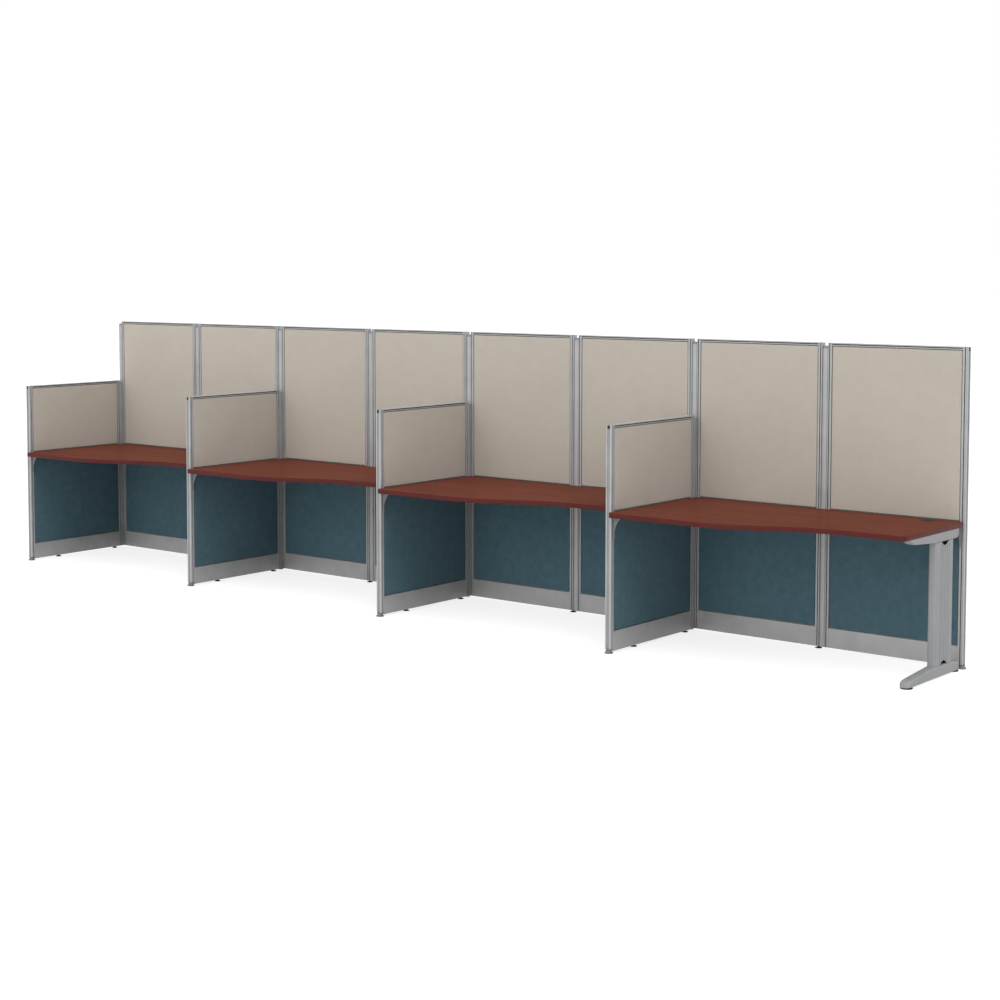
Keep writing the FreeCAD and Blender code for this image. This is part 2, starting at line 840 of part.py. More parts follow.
def make_edge_band(name, width):
    body = new_body(name)
    outside = surface_outline(width, 0)
    pad(body, "blank", "XY_Plane", outside, dim.surface_thickness, surface_underside)
    sketch = new_sketch(body, "inside", "XY_Plane", surface_underside)
    add_outline(sketch, surface_outline(width, dim.edge_band_thickness))
    pocket = body.newObject("PartDesign::Pocket", f"{name}_opening")
    pocket.Profile = sketch
    pocket.Reversed = True
    bind(pocket, "Length", dim.surface_thickness)
    return body


def make_surfaces():
    # Returns the middle of each grommet.
    back = in_front_of_wall(dim.surface_wall_gap)
    side = half_thickness + dim.surface_side_gap
    bay = pitch * screens_per_station
    middle = (bay - side * 2, "bay")
    last = (bay - side - dim.last_surface_stop, "end")
    masters = {}
    for width, name in (middle, last):
        surface = make_worksurface(f"{name}_surface", width)
        masters[name] = (surface, make_edge_band(f"{name}_edge_band", width))
    bands = []
    grommets = []
    for station in range(station_total):
        width, name = last if station == station_total - 1 else middle
        left = joint_place(station * screens_per_station) + side
        surface, band = masters[name]
        copy = placed(surface, left, back)
        name_piece(group("worksurface", [copy]), f"worksurface_{station + 1}")
        bands.append(placed(band, left, back))
        grommets.append(
            (left + width - dim.grommet_side_inset, back - dim.grommet_back_inset)
        )
    name_piece(group("edge_bands", bands), "edge_bands")
    return grommets


def make_grommets(centres):
    outer = dim.grommet_hole_radius - dim.fit_gap
    inner = outer - dim.grommet_liner_wall
    ledge = inner - dim.grommet_ledge_reach
    bottom = -dim.surface_thickness
    bevel = dim.grommet_bevel
    liner = new_body("grommet_liner")
    section = [
        (ledge, bottom),
        (outer, bottom),
        (outer, -dim.grommet_flange_height),
        (dim.grommet_flange_radius, -dim.grommet_flange_height),
        (dim.grommet_flange_radius, -bevel),
        (dim.grommet_flange_radius - bevel, 0),
        (inner, 0),
        (inner, -dim.grommet_ledge_drop),
        (ledge, -dim.grommet_ledge_drop),
    ]
    spin(liner, "liner", section)
    cap = new_body("grommet_cap")
    section = [
        (0, dim.fit_gap - dim.grommet_ledge_drop),
        (inner - dim.fit_gap, dim.fit_gap - dim.grommet_ledge_drop),
        (inner - dim.fit_gap, -bevel),
        (inner - dim.fit_gap - bevel, 0),
        (0, 0),
    ]
    spin(cap, "cap", section)
    for body, label in ((liner, "grommet_liners"), (cap, "grommet_caps")):
        copies = [placed(body, x, y, dim.surface_top) for x, y in centres]
        name_piece(group(label, copies), label)


def make_brackets():
    # A fin carries each worksurface at the low screen's front stile, and another at the
    # tall screens, under its right end and near the inner edge of their last stile.
    body = new_body("fin")
    top = surface_underside - dim.fit_gap
    start = dim.fit_gap
    bow = dim.fin_height
    outline = [
        (start, top - dim.fin_height),
        (start + dim.fin_toe, top - dim.fin_height, bow, -1),
        (start + dim.fin_reach, top - dim.fin_nose),
        (start + dim.fin_reach, top),
        (start, top),
    ]
    half_plate = dim.fin_thickness / 2
    pad(body, "plate", "XZ_Plane", outline, dim.fin_thickness, -half_plate)
    stile_middle = dim.end_cover_depth + dim.stile_width / 2
    front = in_front_of_wall(dim.return_reach - stile_middle)
    stile_inside = dim.connector_width / 2 + dim.stile_width
    copies = []
    for station in range(station_total):
        joint = station * screens_per_station
        side = joint_place(joint) + half_thickness
        copies.append(placed(body, side, front))
        end = joint_place(joint + screens_per_station) - stile_inside + dim.fin_thickness
        copies.append(placed(body, end, wall_face, turn=-90))
    name_piece(group("surface_brackets", copies), "surface_brackets")


# The C-shaped leg. Its own frame: x = 0 in its middle, y = 0 at the tall screens' face,
# and the front towards -y.


def place_leg_piece(feature, label):
    put(feature, joint_place(screen_total) - dim.leg_inset, wall_face)
    return name_piece(feature, label)


def make_leg_column():
    body = new_body("column")
    cover_back = dim.column_width / 2 - dim.column_cover_depth
    open_side = cover_back - dim.fit_gap
    left = -(dim.column_width / 2)
    front = -dim.column_setback - dim.column_depth
    back = -dim.column_setback
    wall = dim.column_wall
    corner = dim.column_corner
    outline = [
        (open_side, front),
        (left + corner, front, corner, -1),
        (left, front + corner),
        (left, back - corner, corner, -1),
        (left + corner, back),
        (open_side, back),
        (open_side, back - wall),
        (left + corner, back - wall, corner - wall, 1),
        (left + wall, back - corner),
        (left + wall, front + corner, corner - wall, 1),
        (left + corner, front + wall),
        (open_side, front + wall),
    ]
    low = dim.foot_crown
    high = surface_underside - dim.arm_depth
    pad(body, "channel", "XY_Plane", outline, high - low, low)
    place_leg_piece(body, "leg_column")


def make_leg_cover():
    # A fluted cover with an arched cable port at its top and at its foot.
    body = new_body("cover")
    back_face = dim.column_width / 2 - dim.column_cover_depth
    face = dim.column_width / 2
    groove = face - dim.flute_depth
    front = -dim.column_setback - dim.column_depth
    back = -dim.column_setback
    middle = front + dim.column_depth / 2
    corner = dim.column_cover_corner
    wall = dim.column_cover_wall
    outline = [
        (back_face, front),
        (face - corner, front, corner, 1),
        (face, front + corner),
    ]
    for number in range(flute_total):
        place = middle + dim.flute_spacing * (number - (flute_total - 1) / 2)
        start = place - dim.flute_width / 2
        end = place + dim.flute_width / 2
        outline += [(face, start), (groove, start), (groove, end), (face, end)]
    outline += [
        (face, back - corner, corner, 1),
        (face - corner, back),
        (back_face, back),
        (back_face, back - wall),
        (face - corner, back - wall, corner - wall, -1),
        (face - wall, back - corner),
        (face - wall, front + corner, corner - wall, -1),
        (face - corner, front + wall),
        (back_face, front + wall),
    ]
    low = dim.foot_crown
    high = surface_underside - dim.arm_depth
    pad(body, "sheet", "XY_Plane", outline, high - low, low)
    beyond = dim.port_radius - dim.port_height
    ports = []
    for z in (low - beyond, high + beyond):
        port = doc.addObject("Part::Cylinder", "cable_port")
        bind(port, "Radius", dim.port_radius)
        bind(port, "Height", dim.column_cover_depth)
        across = Rotation(Vector(0, 1, 0), 90)
        port.Placement = Placement(Vector(0, 0, 0), across)
        bind(port, "Placement.Base.x", face - dim.column_cover_wall * 2)
        bind(port, "Placement.Base.y", middle)
        bind(port, "Placement.Base.z", z)
        ports.append(port)
    cut = doc.addObject("Part::Cut", "ported_cover")
    cut.Base = body
    cut.Tool = group("cable_ports", ports)
    place_leg_piece(cut, "leg_column_cover")


def make_leg_arm():
    body = new_body("arm")
    top = surface_underside
    low = top - dim.arm_depth
    column_front = dim.column_setback + dim.column_depth
    outline = [
        (-dim.arm_reach, top - dim.arm_tip),
        (dim.arm_nose_run - dim.arm_reach, top - dim.arm_nose),
        (-column_front, low),
        (-dim.column_setback, low),
        (-(dim.arm_setback + dim.arm_heel / 2), low),
        (-dim.arm_setback, top - dim.arm_heel),
        (-dim.arm_setback, top),
        (-dim.arm_reach, top),
    ]
    pad(body, "beam", "YZ_Plane", outline, dim.arm_width, -(dim.arm_width / 2))
    length = value_of(dim.arm_width)
    upper = value_of(top)
    round_edges(
        body,
        "bevel",
        "Chamfer",
        dim.arm_chamfer,
        lambda edge: not same(edge.Length, length)
        and edge.BoundBox.ZMin < upper - length / 4
        and edge.BoundBox.YLength > length
        and edge.BoundBox.XLength < length / 2,
    )
    place_leg_piece(body, "leg_arm")


def make_leg_foot():
    # What its outline from the side and its outline from above have in common. The toe
    # slopes down in an arc that starts level.
    side = new_body("foot_side")
    low = dim.foot_lift
    column_front = dim.column_setback + dim.column_depth
    run = dim.foot_toe_run
    heel = dim.foot_heel_radius
    toe_top = dim.foot_toe_height
    drop = toe_top - dim.foot_toe_base
    toe = (run * run + drop * drop) / (drop * 2)
    heel_top = dim.foot_heel_height
    half_width = dim.foot_width / 2
    outline = [
        (-dim.foot_reach, low),
        (-dim.foot_setback, low),
        (-dim.foot_setback, heel_top - heel, heel, 1),
        (-(dim.foot_setback + heel), heel_top),
        (-dim.column_setback, dim.foot_crown),
        (-column_front, dim.foot_crown),
        (run - dim.foot_reach, toe_top, toe, 1),
        (-dim.foot_reach, dim.foot_toe_base),
    ]
    pad(side, "beam", "YZ_Plane", outline, dim.foot_width, -half_width)
    round_edges(
        side,
        "crest",
        "Fillet",
        dim.foot_crest_radius,
        lambda edge: edge.BoundBox.ZMin > value_of(low + dim.foot_crest_radius)
        and edge.BoundBox.XLength < value_of(half_width)
        and isinstance(edge.Curve, Part.Line),
    )
    plan = new_body("foot_plan")
    outline = rounded_corners(
        -half_width,
        half_width,
        -dim.foot_reach,
        -dim.foot_setback,
        dim.foot_plan_radius,
    )
    pad(plan, "beam", "XY_Plane", outline, dim.foot_crown - low, low)
    for number, reach in enumerate(glide_reaches(), start=1):
        top = dim.glide_stem_top + dim.stem_end_gap
        bore_up(plan, f"bore_{number}", (0, -reach), stem_bore_radius, top)
    foot = doc.addObject("Part::MultiCommon", "foot")
    foot.Shapes = [side, plan]
    place_leg_piece(foot, "leg_foot")


def glide_reaches():
    return [dim.glide_front_reach, dim.glide_rear_reach]


# Levelling feet and glides. Each turns on its threaded stem.


def make_level_foot():
    body = new_body("level_foot")
    section = [
        (0, 0),
        (dim.level_foot_radius, 0),
        (dim.level_foot_radius, dim.level_foot_base),
        (dim.level_foot_nut_radius, dim.level_foot_neck),
        (dim.foot_stem_radius, dim.level_foot_neck),
        (dim.foot_stem_radius, dim.foot_stem_top),
        (0, dim.foot_stem_top),
    ]
    spin(body, "base", section)
    across = dim.level_foot_nut_radius * math.sin(math.pi / 3)
    half_flat = dim.level_foot_nut_radius / 2
    hexagon = [
        (half_flat, -across),
        (dim.level_foot_nut_radius, 0),
        (half_flat, across),
        (-half_flat, across),
        (-dim.level_foot_nut_radius, 0),
        (-half_flat, -across),
    ]
    nut_height = dim.level_foot_nut_top - dim.level_foot_neck
    pad(body, "nut", "XY_Plane", hexagon, nut_height, dim.level_foot_neck)
    return body


def make_shoe():
    # A tall flared shoe under the free end of a screen.
    body = new_body("shoe")
    section = [
        (0, 0),
        (dim.shoe_radius, 0),
        (dim.shoe_radius, dim.shoe_base),
        (dim.shoe_neck_radius, dim.shoe_neck),
        (dim.shoe_neck_radius, dim.shoe_top),
        (dim.foot_stem_radius, dim.shoe_top),
        (dim.foot_stem_radius, dim.foot_stem_top),
        (0, dim.foot_stem_top),
    ]
    spin(body, "base", section)
    return body


def make_glide():
    body = new_body("glide")
    section = [
        (0, 0),
        (dim.glide_radius, 0),
        (dim.glide_radius, dim.glide_base),
        (dim.glide_neck_radius, dim.glide_neck),
        (dim.foot_stem_radius, dim.glide_neck),
        (dim.foot_stem_radius, dim.glide_stem_top),
        (0, dim.glide_stem_top),
    ]
    spin(body, "base", section)
    return body


def place_foot(body, x, y, label):
    name_piece(group("foot_at_place", [placed(body, x, y)]), label)


def make_feet():
    foot = make_level_foot()
    shoe = make_shoe()
    glide = make_glide()
    inset = dim.connector_width / 2 + dim.wall_foot_inset
    for number in range(1, screen_total):
        x = joint_place(number) - inset
        place_foot(foot, x, wall_middle, f"wall_foot_{number}")
    place_foot(shoe, row_end() - dim.shoe_inset, wall_middle, "wall_end_foot")
    kinds = (
        (shoe, dim.return_reach - dim.shoe_inset, "side_front_foot"),
        (foot, dim.mid_foot_reach, "side_mid_foot"),
        (foot, dim.rear_foot_reach, "side_rear_foot"),
    )
    for body, reach, label in kinds:
        for number, x in enumerate(joints_with_returns(), start=1):
            place_foot(body, x, in_front_of_wall(reach), f"{label}_{number}")
    leg = joint_place(screen_total) - dim.leg_inset
    for reach, label in zip(glide_reaches(), ("leg_glide_front", "leg_glide_rear")):
        place_foot(glide, leg, in_front_of_wall(reach), label)


def build():
    place_screens(make_wall_screen(), make_return_screen())
    make_connectors()
    make_tee_posts()
    make_end_covers()
    make_grommets(make_surfaces())
    make_brackets()
    make_leg_column()
    make_leg_cover()
    make_leg_arm()
    make_leg_foot()
    make_feet()
    doc.recompute()


def check():
    for feature in doc.Objects:
        for state in ("Invalid", "Error"):
            if state in feature.State:
                raise RuntimeError(f"{feature.Name} ({feature.Label}) is {state}")
    for piece in pieces:
        shape = piece.Shape
        if shape.isNull() or not shape.isValid() or not shape.Solids:
            raise RuntimeError(f"{piece.Label} has no valid solid")


def export():
    os.makedirs("parts", exist_ok=True)
    for piece in pieces:
        piece.Shape.exportStep(os.path.join("parts", f"{piece.Label}.step"))
        box = piece.Shape.BoundBox
        print(
            f"{piece.Label}: {len(piece.Shape.Solids)} solids,"
            f" x {box.XMin:.1f} to {box.XMax:.1f},"
            f" y {box.YMin:.1f} to {box.YMax:.1f},"
            f" z {box.ZMin:.1f} to {box.ZMax:.1f},"
            f" {piece.Shape.Volume:.0f} mm3"
        )


build()
check()
export()
print(f"{len(pieces)} pieces")
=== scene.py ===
import json
import math

import bmesh
import bpy
import numpy as np
from mathutils import Euler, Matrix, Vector
from mathutils.geometry import tessellate_polygon

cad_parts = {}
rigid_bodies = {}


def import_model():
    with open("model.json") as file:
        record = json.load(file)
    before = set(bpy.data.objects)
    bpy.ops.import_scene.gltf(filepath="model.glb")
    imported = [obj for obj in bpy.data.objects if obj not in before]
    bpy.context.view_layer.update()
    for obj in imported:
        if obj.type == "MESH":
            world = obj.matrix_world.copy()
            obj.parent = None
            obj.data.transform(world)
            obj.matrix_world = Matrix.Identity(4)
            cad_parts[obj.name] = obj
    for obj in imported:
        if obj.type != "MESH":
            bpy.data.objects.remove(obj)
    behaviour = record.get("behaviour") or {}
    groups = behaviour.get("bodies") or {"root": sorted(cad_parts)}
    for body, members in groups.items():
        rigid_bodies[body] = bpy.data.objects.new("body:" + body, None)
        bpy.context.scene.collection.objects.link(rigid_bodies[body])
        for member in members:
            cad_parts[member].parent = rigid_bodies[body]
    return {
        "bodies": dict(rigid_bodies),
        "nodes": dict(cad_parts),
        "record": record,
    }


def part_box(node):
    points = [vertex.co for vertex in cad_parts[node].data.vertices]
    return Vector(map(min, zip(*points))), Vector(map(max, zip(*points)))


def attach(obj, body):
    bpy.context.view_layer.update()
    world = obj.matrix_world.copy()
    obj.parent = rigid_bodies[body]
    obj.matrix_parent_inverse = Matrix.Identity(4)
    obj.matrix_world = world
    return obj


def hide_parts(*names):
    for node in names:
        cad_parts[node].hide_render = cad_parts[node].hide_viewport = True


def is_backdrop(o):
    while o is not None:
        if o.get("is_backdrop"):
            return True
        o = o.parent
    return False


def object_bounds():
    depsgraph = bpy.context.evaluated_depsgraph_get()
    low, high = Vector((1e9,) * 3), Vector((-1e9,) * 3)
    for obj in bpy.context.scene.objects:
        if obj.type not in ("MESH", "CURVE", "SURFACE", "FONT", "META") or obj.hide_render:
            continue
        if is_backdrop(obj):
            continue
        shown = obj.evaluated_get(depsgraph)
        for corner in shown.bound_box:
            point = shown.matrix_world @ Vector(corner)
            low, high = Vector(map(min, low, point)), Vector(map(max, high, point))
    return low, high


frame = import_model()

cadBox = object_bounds()
print("frame loaded:", len(frame["nodes"]), "nodes")

# Where things are along and across the row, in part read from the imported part. A post
# stands at each joint, and a low screen reaches lowReach, with its end cover.
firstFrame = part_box("back_frames_1")
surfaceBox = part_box("worksurface_1")
row = {
    "stations": 4,
    "pitch": 0.796,
    "halfPost": 0.017,
    "lowReach": 0.802,
    "coverDepth": 0.006,
    "fit": 0.0002,
    "wallFace": firstFrame[0].y,
    "wallMiddle": (firstFrame[0].y + firstFrame[1].y) / 2,
    "surfaceTop": surfaceBox[1].z,
    "surfaceUnder": surfaceBox[0].z,
}


def jointX(number):
    return firstFrame[0].x - row["halfPost"] + row["pitch"] * number


wallJoints = [jointX(k) for k in range(row["stations"] * 2)]
lowJoints = wallJoints[::2]
rightJoint = jointX(len(wallJoints))
coverFront = row["wallFace"] - row["lowReach"]
coverRight = rightJoint - row["halfPost"] + row["coverDepth"]


# Shader maths: a wire is a socket that takes part in sums as a number would.


class Wire:
    def __init__(self, nodes, socket):
        self.nodes = nodes
        self.socket = socket

    def reckon(self, operation, first, second):
        return self.nodes.add("ShaderNodeMath", {"operation": operation}, {0: first, 1: second})

    def __add__(self, other):
        return self.reckon("ADD", self, other)

    def __radd__(self, other):
        return self.reckon("ADD", other, self)

    def __sub__(self, other):
        return self.reckon("SUBTRACT", self, other)

    def __rsub__(self, other):
        return self.reckon("SUBTRACT", other, self)

    def __mul__(self, other):
        return self.reckon("MULTIPLY", self, other)

    def __rmul__(self, other):
        return self.reckon("MULTIPLY", other, self)


class Nodes:
    # The nodes of one material or of the world.
    def __init__(self, owner):
        owner.use_nodes = True
        self.tree = owner.node_tree

    def add(self, kind, settings=None, feeds=None, output=0):
        node = self.tree.nodes.new(kind)
        for key, value in (settings or {}).items():
            setattr(node, key, value)
        for key, value in (feeds or {}).items():
            self.feed(node.inputs[key], value)
        return Wire(self, node.outputs[output])

    def feed(self, socket, value):
        if isinstance(value, Wire):
            self.tree.links.new(value.socket, socket)
        else:
            socket.default_value = value

    def held(self, value, low, high, toLow=0.0, toHigh=1.0):
        # Value stretched from low..high to toLow..toHigh, and held there.
        feeds = {
            "Value": value,
            "From Min": low,
            "From Max": high,
            "To Min": toLow,
            "To Max": toHigh,
        }
        return self.add("ShaderNodeMapRange", {"clamp": True}, feeds)


class Finish(Nodes):
    # One material, its shader and the nodes that feed it.
    def __init__(self, name, **fixed):
        self.material = bpy.data.materials.new(name)
        super().__init__(self.material)
        self.shader = self.tree.nodes["Principled BSDF"]
        for socketName, value in fixed.items():
            self.shader.inputs[socketName.replace("_", " ")].default_value = value
        self.spot = None

    def place(self):
        # Where the point is on the object, in metres.
        if self.spot is None:
            self.spot = self.add("ShaderNodeTexCoord", output="Object")
        return self.spot

    def stretched(self, x, y, z):
        scale = {"Vector": self.place(), "Scale": (x, y, z)}
        return self.add("ShaderNodeMapping", None, scale)

    def noise(self, scale, detail=2.0, rough=0.5, where=None, warp=0.0):
        feeds = {
            "Vector": where or self.place(),
            "Scale": scale,
            "Detail": detail,
            "Roughness": rough,
            "Distortion": warp,
        }
        return self.add("ShaderNodeTexNoise", None, feeds)

    def wave(self, spot, period):
        # A sine of the given period, from -1 to 1.
        turn = spot * (2 * math.pi / period)
        return self.add("ShaderNodeMath", {"operation": "SINE"}, {0: turn})

    def blendColours(self, share, first, second):
        settings = {"data_type": "RGBA"}
        return self.add("ShaderNodeMix", settings, {0: share, 6: first, 7: second}, 2)

    def relief(self, height, depth, strength=1.0):
        # Bump of the given depth in metres.
        feeds = {"Height": height, "Distance": depth, "Strength": strength}
        self.feed(self.shader.inputs["Normal"], self.add("ShaderNodeBump", None, feeds))

    def paint(self, colour=None, roughness=None, metallic=None):
        for name, value in (
            ("Base Color", colour),
            ("Roughness", roughness),
            ("Metallic", metallic),
        ):
            if value is not None:
                self.feed(self.shader.inputs[name], value)
        return self.material


def tint(red, green, blue, level=1.0):
    # A screen colour from 0 to 255 as linear light, times a level.
    share = np.array([red, green, blue]) / 255
    linear = np.where(share > 0.04045, ((share + 0.055) / 1.055) ** 2.4, share / 12.92)
    return (*(linear * level).tolist(), 1.0)


# Panel cloth: a plain weave with slubs, mottled by how the yarn took the dye.

clothLooks = {
    "lightCloth": {
        "face": (181, 174, 164),
        "shade": (158, 151, 141),
        "sheen": 0.15,
        "thread": 0.0013,
        "mottle": 0.11,
        "blotch": 14.0,
    },
    "darkCloth": {
        "face": (83, 111, 121),
        "shade": (57, 81, 92),
        "sheen": 0.06,
        "thread": 0.0015,
        "mottle": 0.25,
        "blotch": 22.0,
    },
}


def clothFinish(name, look):
    sheen = {"Sheen_Weight": look["sheen"], "Sheen_Roughness": 0.5}
    finish = Finish(name, Specular_IOR_Level=0.15, **sheen)
    parts = {"Vector": finish.place()}
    x, y, z = (finish.add("ShaderNodeSeparateXYZ", None, parts, k) for k in range(3))
    level = x + y  # runs along a tall and a low screen alike
    crossing = finish.wave(level, look["thread"]) * finish.wave(z, look["thread"])
    slubWhere = finish.stretched(70, 70, 900)
    slubUpright = finish.stretched(900, 900, 60)
    slubs = finish.noise(1.0, 2, 0.6, slubWhere) + finish.noise(1.0, 2, 0.6, slubUpright)
    blotches = finish.noise(look["blotch"], 4, 0.62)
    broad = finish.noise(1.7, 2, 0.5)
    unevenness = (slubs - 1.0) * 0.9 + (blotches - 0.5) * (look["mottle"] * 5)
    share = 0.5 + unevenness * 0.6 + crossing * 0.16 + (broad - 0.5) * 0.35
    share = finish.held(share, 0.0, 1.0)
    colour = finish.blendColours(share, tint(*look["shade"]), tint(*look["face"]))
    finish.relief(crossing * 0.5 + slubs, 0.0005, 0.6)
    return finish.paint(colour, finish.held(slubs, 0.6, 1.4, 0.95, 0.8))


# Paints and plastics: a body colour with fine grain, unevenness and faint orange peel.

paintLooks = {
    "frameMetal": {
        "colour": (165, 166, 167), "dark": (146, 147, 148), "metallic": 0.2, "gloss": 0.4,
        "rough": (0.32, 0.46), "grain": 1400, "peel": 0.00008,
    },
    "kickMetal": {
        "colour": (166, 166, 166), "dark": (150, 150, 150), "metallic": 0.3, "gloss": 0.4,
        "rough": (0.42, 0.55), "grain": 1200, "peel": 0.0001,
    },
    "legPaint": {
        "colour": (136, 137, 138), "dark": (125, 126, 127), "metallic": 0.0, "gloss": 0.15,
        "rough": (0.38, 0.52), "grain": 900, "peel": 0.00016,
    },
    "bracketPaint": {
        "colour": (114, 115, 117), "dark": (100, 101, 103), "metallic": 0.1, "gloss": 0.3,
        "rough": (0.4, 0.55), "grain": 1000, "peel": 0.00012,
    },
    "blackPlastic": {
        "colour": (36, 36, 37), "dark": (24, 24, 25), "metallic": 0.0, "gloss": 0.2,
        "rough": (0.45, 0.62), "grain": 1600, "peel": 0.00012,
    },
    "greyPlastic": {
        "colour": (128, 129, 131), "dark": (104, 105, 107), "metallic": 0.0, "gloss": 0.4,
        "rough": (0.42, 0.58), "grain": 1300, "peel": 0.0001,
    },
    "shoePlastic": {
        "colour": (112, 113, 114), "dark": (92, 93, 94), "metallic": 0.0, "gloss": 0.4,
        "rough": (0.5, 0.65), "grain": 1300, "peel": 0.00012,
    },
}


def paintFinish(name, look):
    # The floors of grooves are marked 1 in the mesh, and are darkened there towards near black as
    # painted shade.
    finish = Finish(name, Specular_IOR_Level=look["gloss"])
    grain = finish.noise(look["grain"], 2, 0.7)
    clouds = finish.noise(9.0, 4, 0.6)
    share = finish.held((grain - 0.5) * 1.5 + (clouds - 0.5) * 1.6 + 0.6, 0.0, 1.0)
    colour = finish.blendColours(share, tint(*look["dark"]), tint(*look["colour"]))
    groove = finish.add("ShaderNodeAttribute", {"attribute_name": "groove"}, None, 2)
    # Painted shade: the groove mark mixes near black into the colour.
    colour = finish.blendColours(groove, colour, tint(44, 45, 46))
    low, high = look["rough"]
    finish.relief(grain, look["peel"], 0.7)
    roughness = finish.held(clouds + grain * 0.3, 0.4, 0.9, low, high)
    metallic = finish.held(grain, 0.2, 0.8, look["metallic"] * 0.8, look["metallic"])
    return finish.paint(colour, roughness, metallic)


# Cherry laminate: long grain along the row, dark pores and a satin top.

laminateLook = {
    "light": (106, 60, 47),
    "middle": (98, 54, 42),
    "dark": (90, 49, 38),
    "pore": (76, 41, 33),
}


def laminateFinish(name, look):
    finish = Finish(name, Specular_IOR_Level=0.0, Coat_Weight=0.08, Coat_Roughness=0.1)
    sway = finish.noise(1.0, 3, 0.5, finish.stretched(0.9, 3.0, 3.0))
    figure = finish.noise(1.0, 5, 0.62, finish.stretched(1.6, 34.0, 34.0), 0.8)
    streaks = finish.noise(1.0, 3, 0.6, finish.stretched(5.0, 210.0, 210.0))
    pores = finish.noise(1.0, 2, 0.5, finish.stretched(26.0, 900.0, 900.0))
    tone = figure * 0.75 + streaks * 0.35 + (sway - 0.5) * 0.5
    warm = finish.blendColours(
        finish.held(tone, 0.3, 0.62), tint(*look["dark"]), tint(*look["middle"])
    )
    bright = finish.blendColours(
        finish.held(tone, 0.55, 0.85), warm, tint(*look["light"])
    )
    poreShare = finish.held(pores, 0.66, 0.78, 0.0, 0.6)
    colour = finish.blendColours(poreShare, bright, tint(*look["pore"]))
    finish.relief(streaks - poreShare * 0.5, 0.00006, 0.5)
    return finish.paint(colour, finish.held(figure, 0.3, 0.7, 0.3, 0.24))


# The band round a worksurface: one red brown, with faint grain along the edge.

bandLook = {"colour": (82, 31, 27), "dark": (70, 26, 22)}


def bandFinish(name, look):
    finish = Finish(name, Specular_IOR_Level=0.12)
    grain = finish.noise(1.0, 3, 0.6, finish.stretched(8.0, 8.0, 300.0))
    flecks = finish.noise(700.0, 2, 0.5)
    share = finish.held(grain + (flecks - 0.5) * 0.4, 0.3, 0.7)
    colour = finish.blendColours(share, tint(*look["dark"]), tint(*look["colour"]))
    finish.relief(grain, 0.00006, 0.5)
    return finish.paint(colour, finish.held(flecks, 0.3, 0.7, 0.4, 0.5))


finishes = {name: clothFinish(name, look) for name, look in clothLooks.items()}
finishes.update({name: paintFinish(name, look) for name, look in paintLooks.items()})
finishes["laminate"] = laminateFinish("laminate", laminateLook)
finishes["edgeBand"] = bandFinish("edgeBand", bandLook)
slotFinishes = {
    "frame_metal": "frameMetal",
    "kick_paint": "kickMetal",
    "leg_paint": "legPaint",
    "bracket_paint": "bracketPaint",
    "light_fabric": "lightCloth",
    "dark_fabric": "darkCloth",
    "worktop_laminate": "laminate",
    "edge_band": "edgeBand",
    "black_plastic": "blackPlastic",
    "grey_plastic": "greyPlastic",
    "shoe_plastic": "shoePlastic",
}
nodeSlots = {part["node"]: part["material_slot"] for part in frame["record"]["subparts"]}
print("finishes made:", len(finishes))


# Shapes. A shell is an array of points and a list of faces.


def easedOutline(corners, radii, steps=4):
    # Each corner of a closed outline becomes an arc. It leaves the sides
    # r / tan(half the corner) from the corner, about a centre r / sin(half the corner)
    # along the corner's middle line.
    corners = np.asarray(corners, float)
    radii = np.broadcast_to(np.asarray(radii, float), len(corners))
    back = np.roll(corners, 1, axis=0) - corners
    ahead = np.roll(corners, -1, axis=0) - corners
    back /= np.linalg.norm(back, axis=1)[:, None]
    ahead /= np.linalg.norm(ahead, axis=1)[:, None]
    half = np.arccos(np.clip((back * ahead).sum(axis=1), -1, 1)) / 2
    reach = (radii / np.tan(half))[:, None]
    middle = back + ahead
    middle /= np.linalg.norm(middle, axis=1)[:, None]
    centre = corners + middle * (radii / np.sin(half))[:, None]
    first = corners + back * reach - centre
    last = corners + ahead * reach - centre
    start = np.arctan2(first[:, 1], first[:, 0])
    sweep = np.arctan2(last[:, 1], last[:, 0]) - start
    sweep = (sweep + math.pi) % (2 * math.pi) - math.pi
    angle = start[:, None] + sweep[:, None] * np.linspace(0, 1, steps)
    spokes = np.stack([np.cos(angle), np.sin(angle)], axis=-1)
    return (centre[:, None] + radii[:, None, None] * spokes).reshape(-1, 2)


def drawnIn(outline, amount):
    # Each point moves inwards along the middle of its two sides' normals. The outline
    # runs counter-clockwise.
    side = np.roll(outline, -1, axis=0) - outline
    side /= np.maximum(np.linalg.norm(side, axis=1), 1e-9)[:, None]
    inward = np.stack([-side[:, 1], side[:, 0]], axis=1)
    both = inward + np.roll(inward, 1, axis=0)
    both /= np.maximum(np.linalg.norm(both, axis=1), 1e-9)[:, None]
    return outline + both * amount


def ringsToShell(rings, capped=True, looped=False):
    # rings[i, j] is point j of ring i. Neighbouring rings are joined by quads, and the
    # first and the last ring are closed by one face each, or joined to each other.
    count, around = rings.shape[:2]
    index = np.arange(count * around).reshape(count, around)
    following = np.roll(index, -1, axis=0) if looped else index[1:]
    here = index if looped else index[:-1]
    quads = np.stack(
        [here, np.roll(here, -1, axis=1), np.roll(following, -1, axis=1), following],
        axis=-1,
    )
    faces = quads.reshape(-1, 4).tolist()
    if capped and not looped:
        faces += [index[0, ::-1].tolist(), index[-1].tolist()]
    return rings.reshape(-1, 3), faces


def carried(outline, stretch, along):
    # The outline's two coordinates and its place along an axis, as points.
    first, second = outline[:, 0], outline[:, 1]
    place = np.full(len(outline), float(stretch))
    order = {"x": (place, first, second), "y": (first, place, second), "z": (first, second, place)}
    return np.stack(order[along], axis=1)


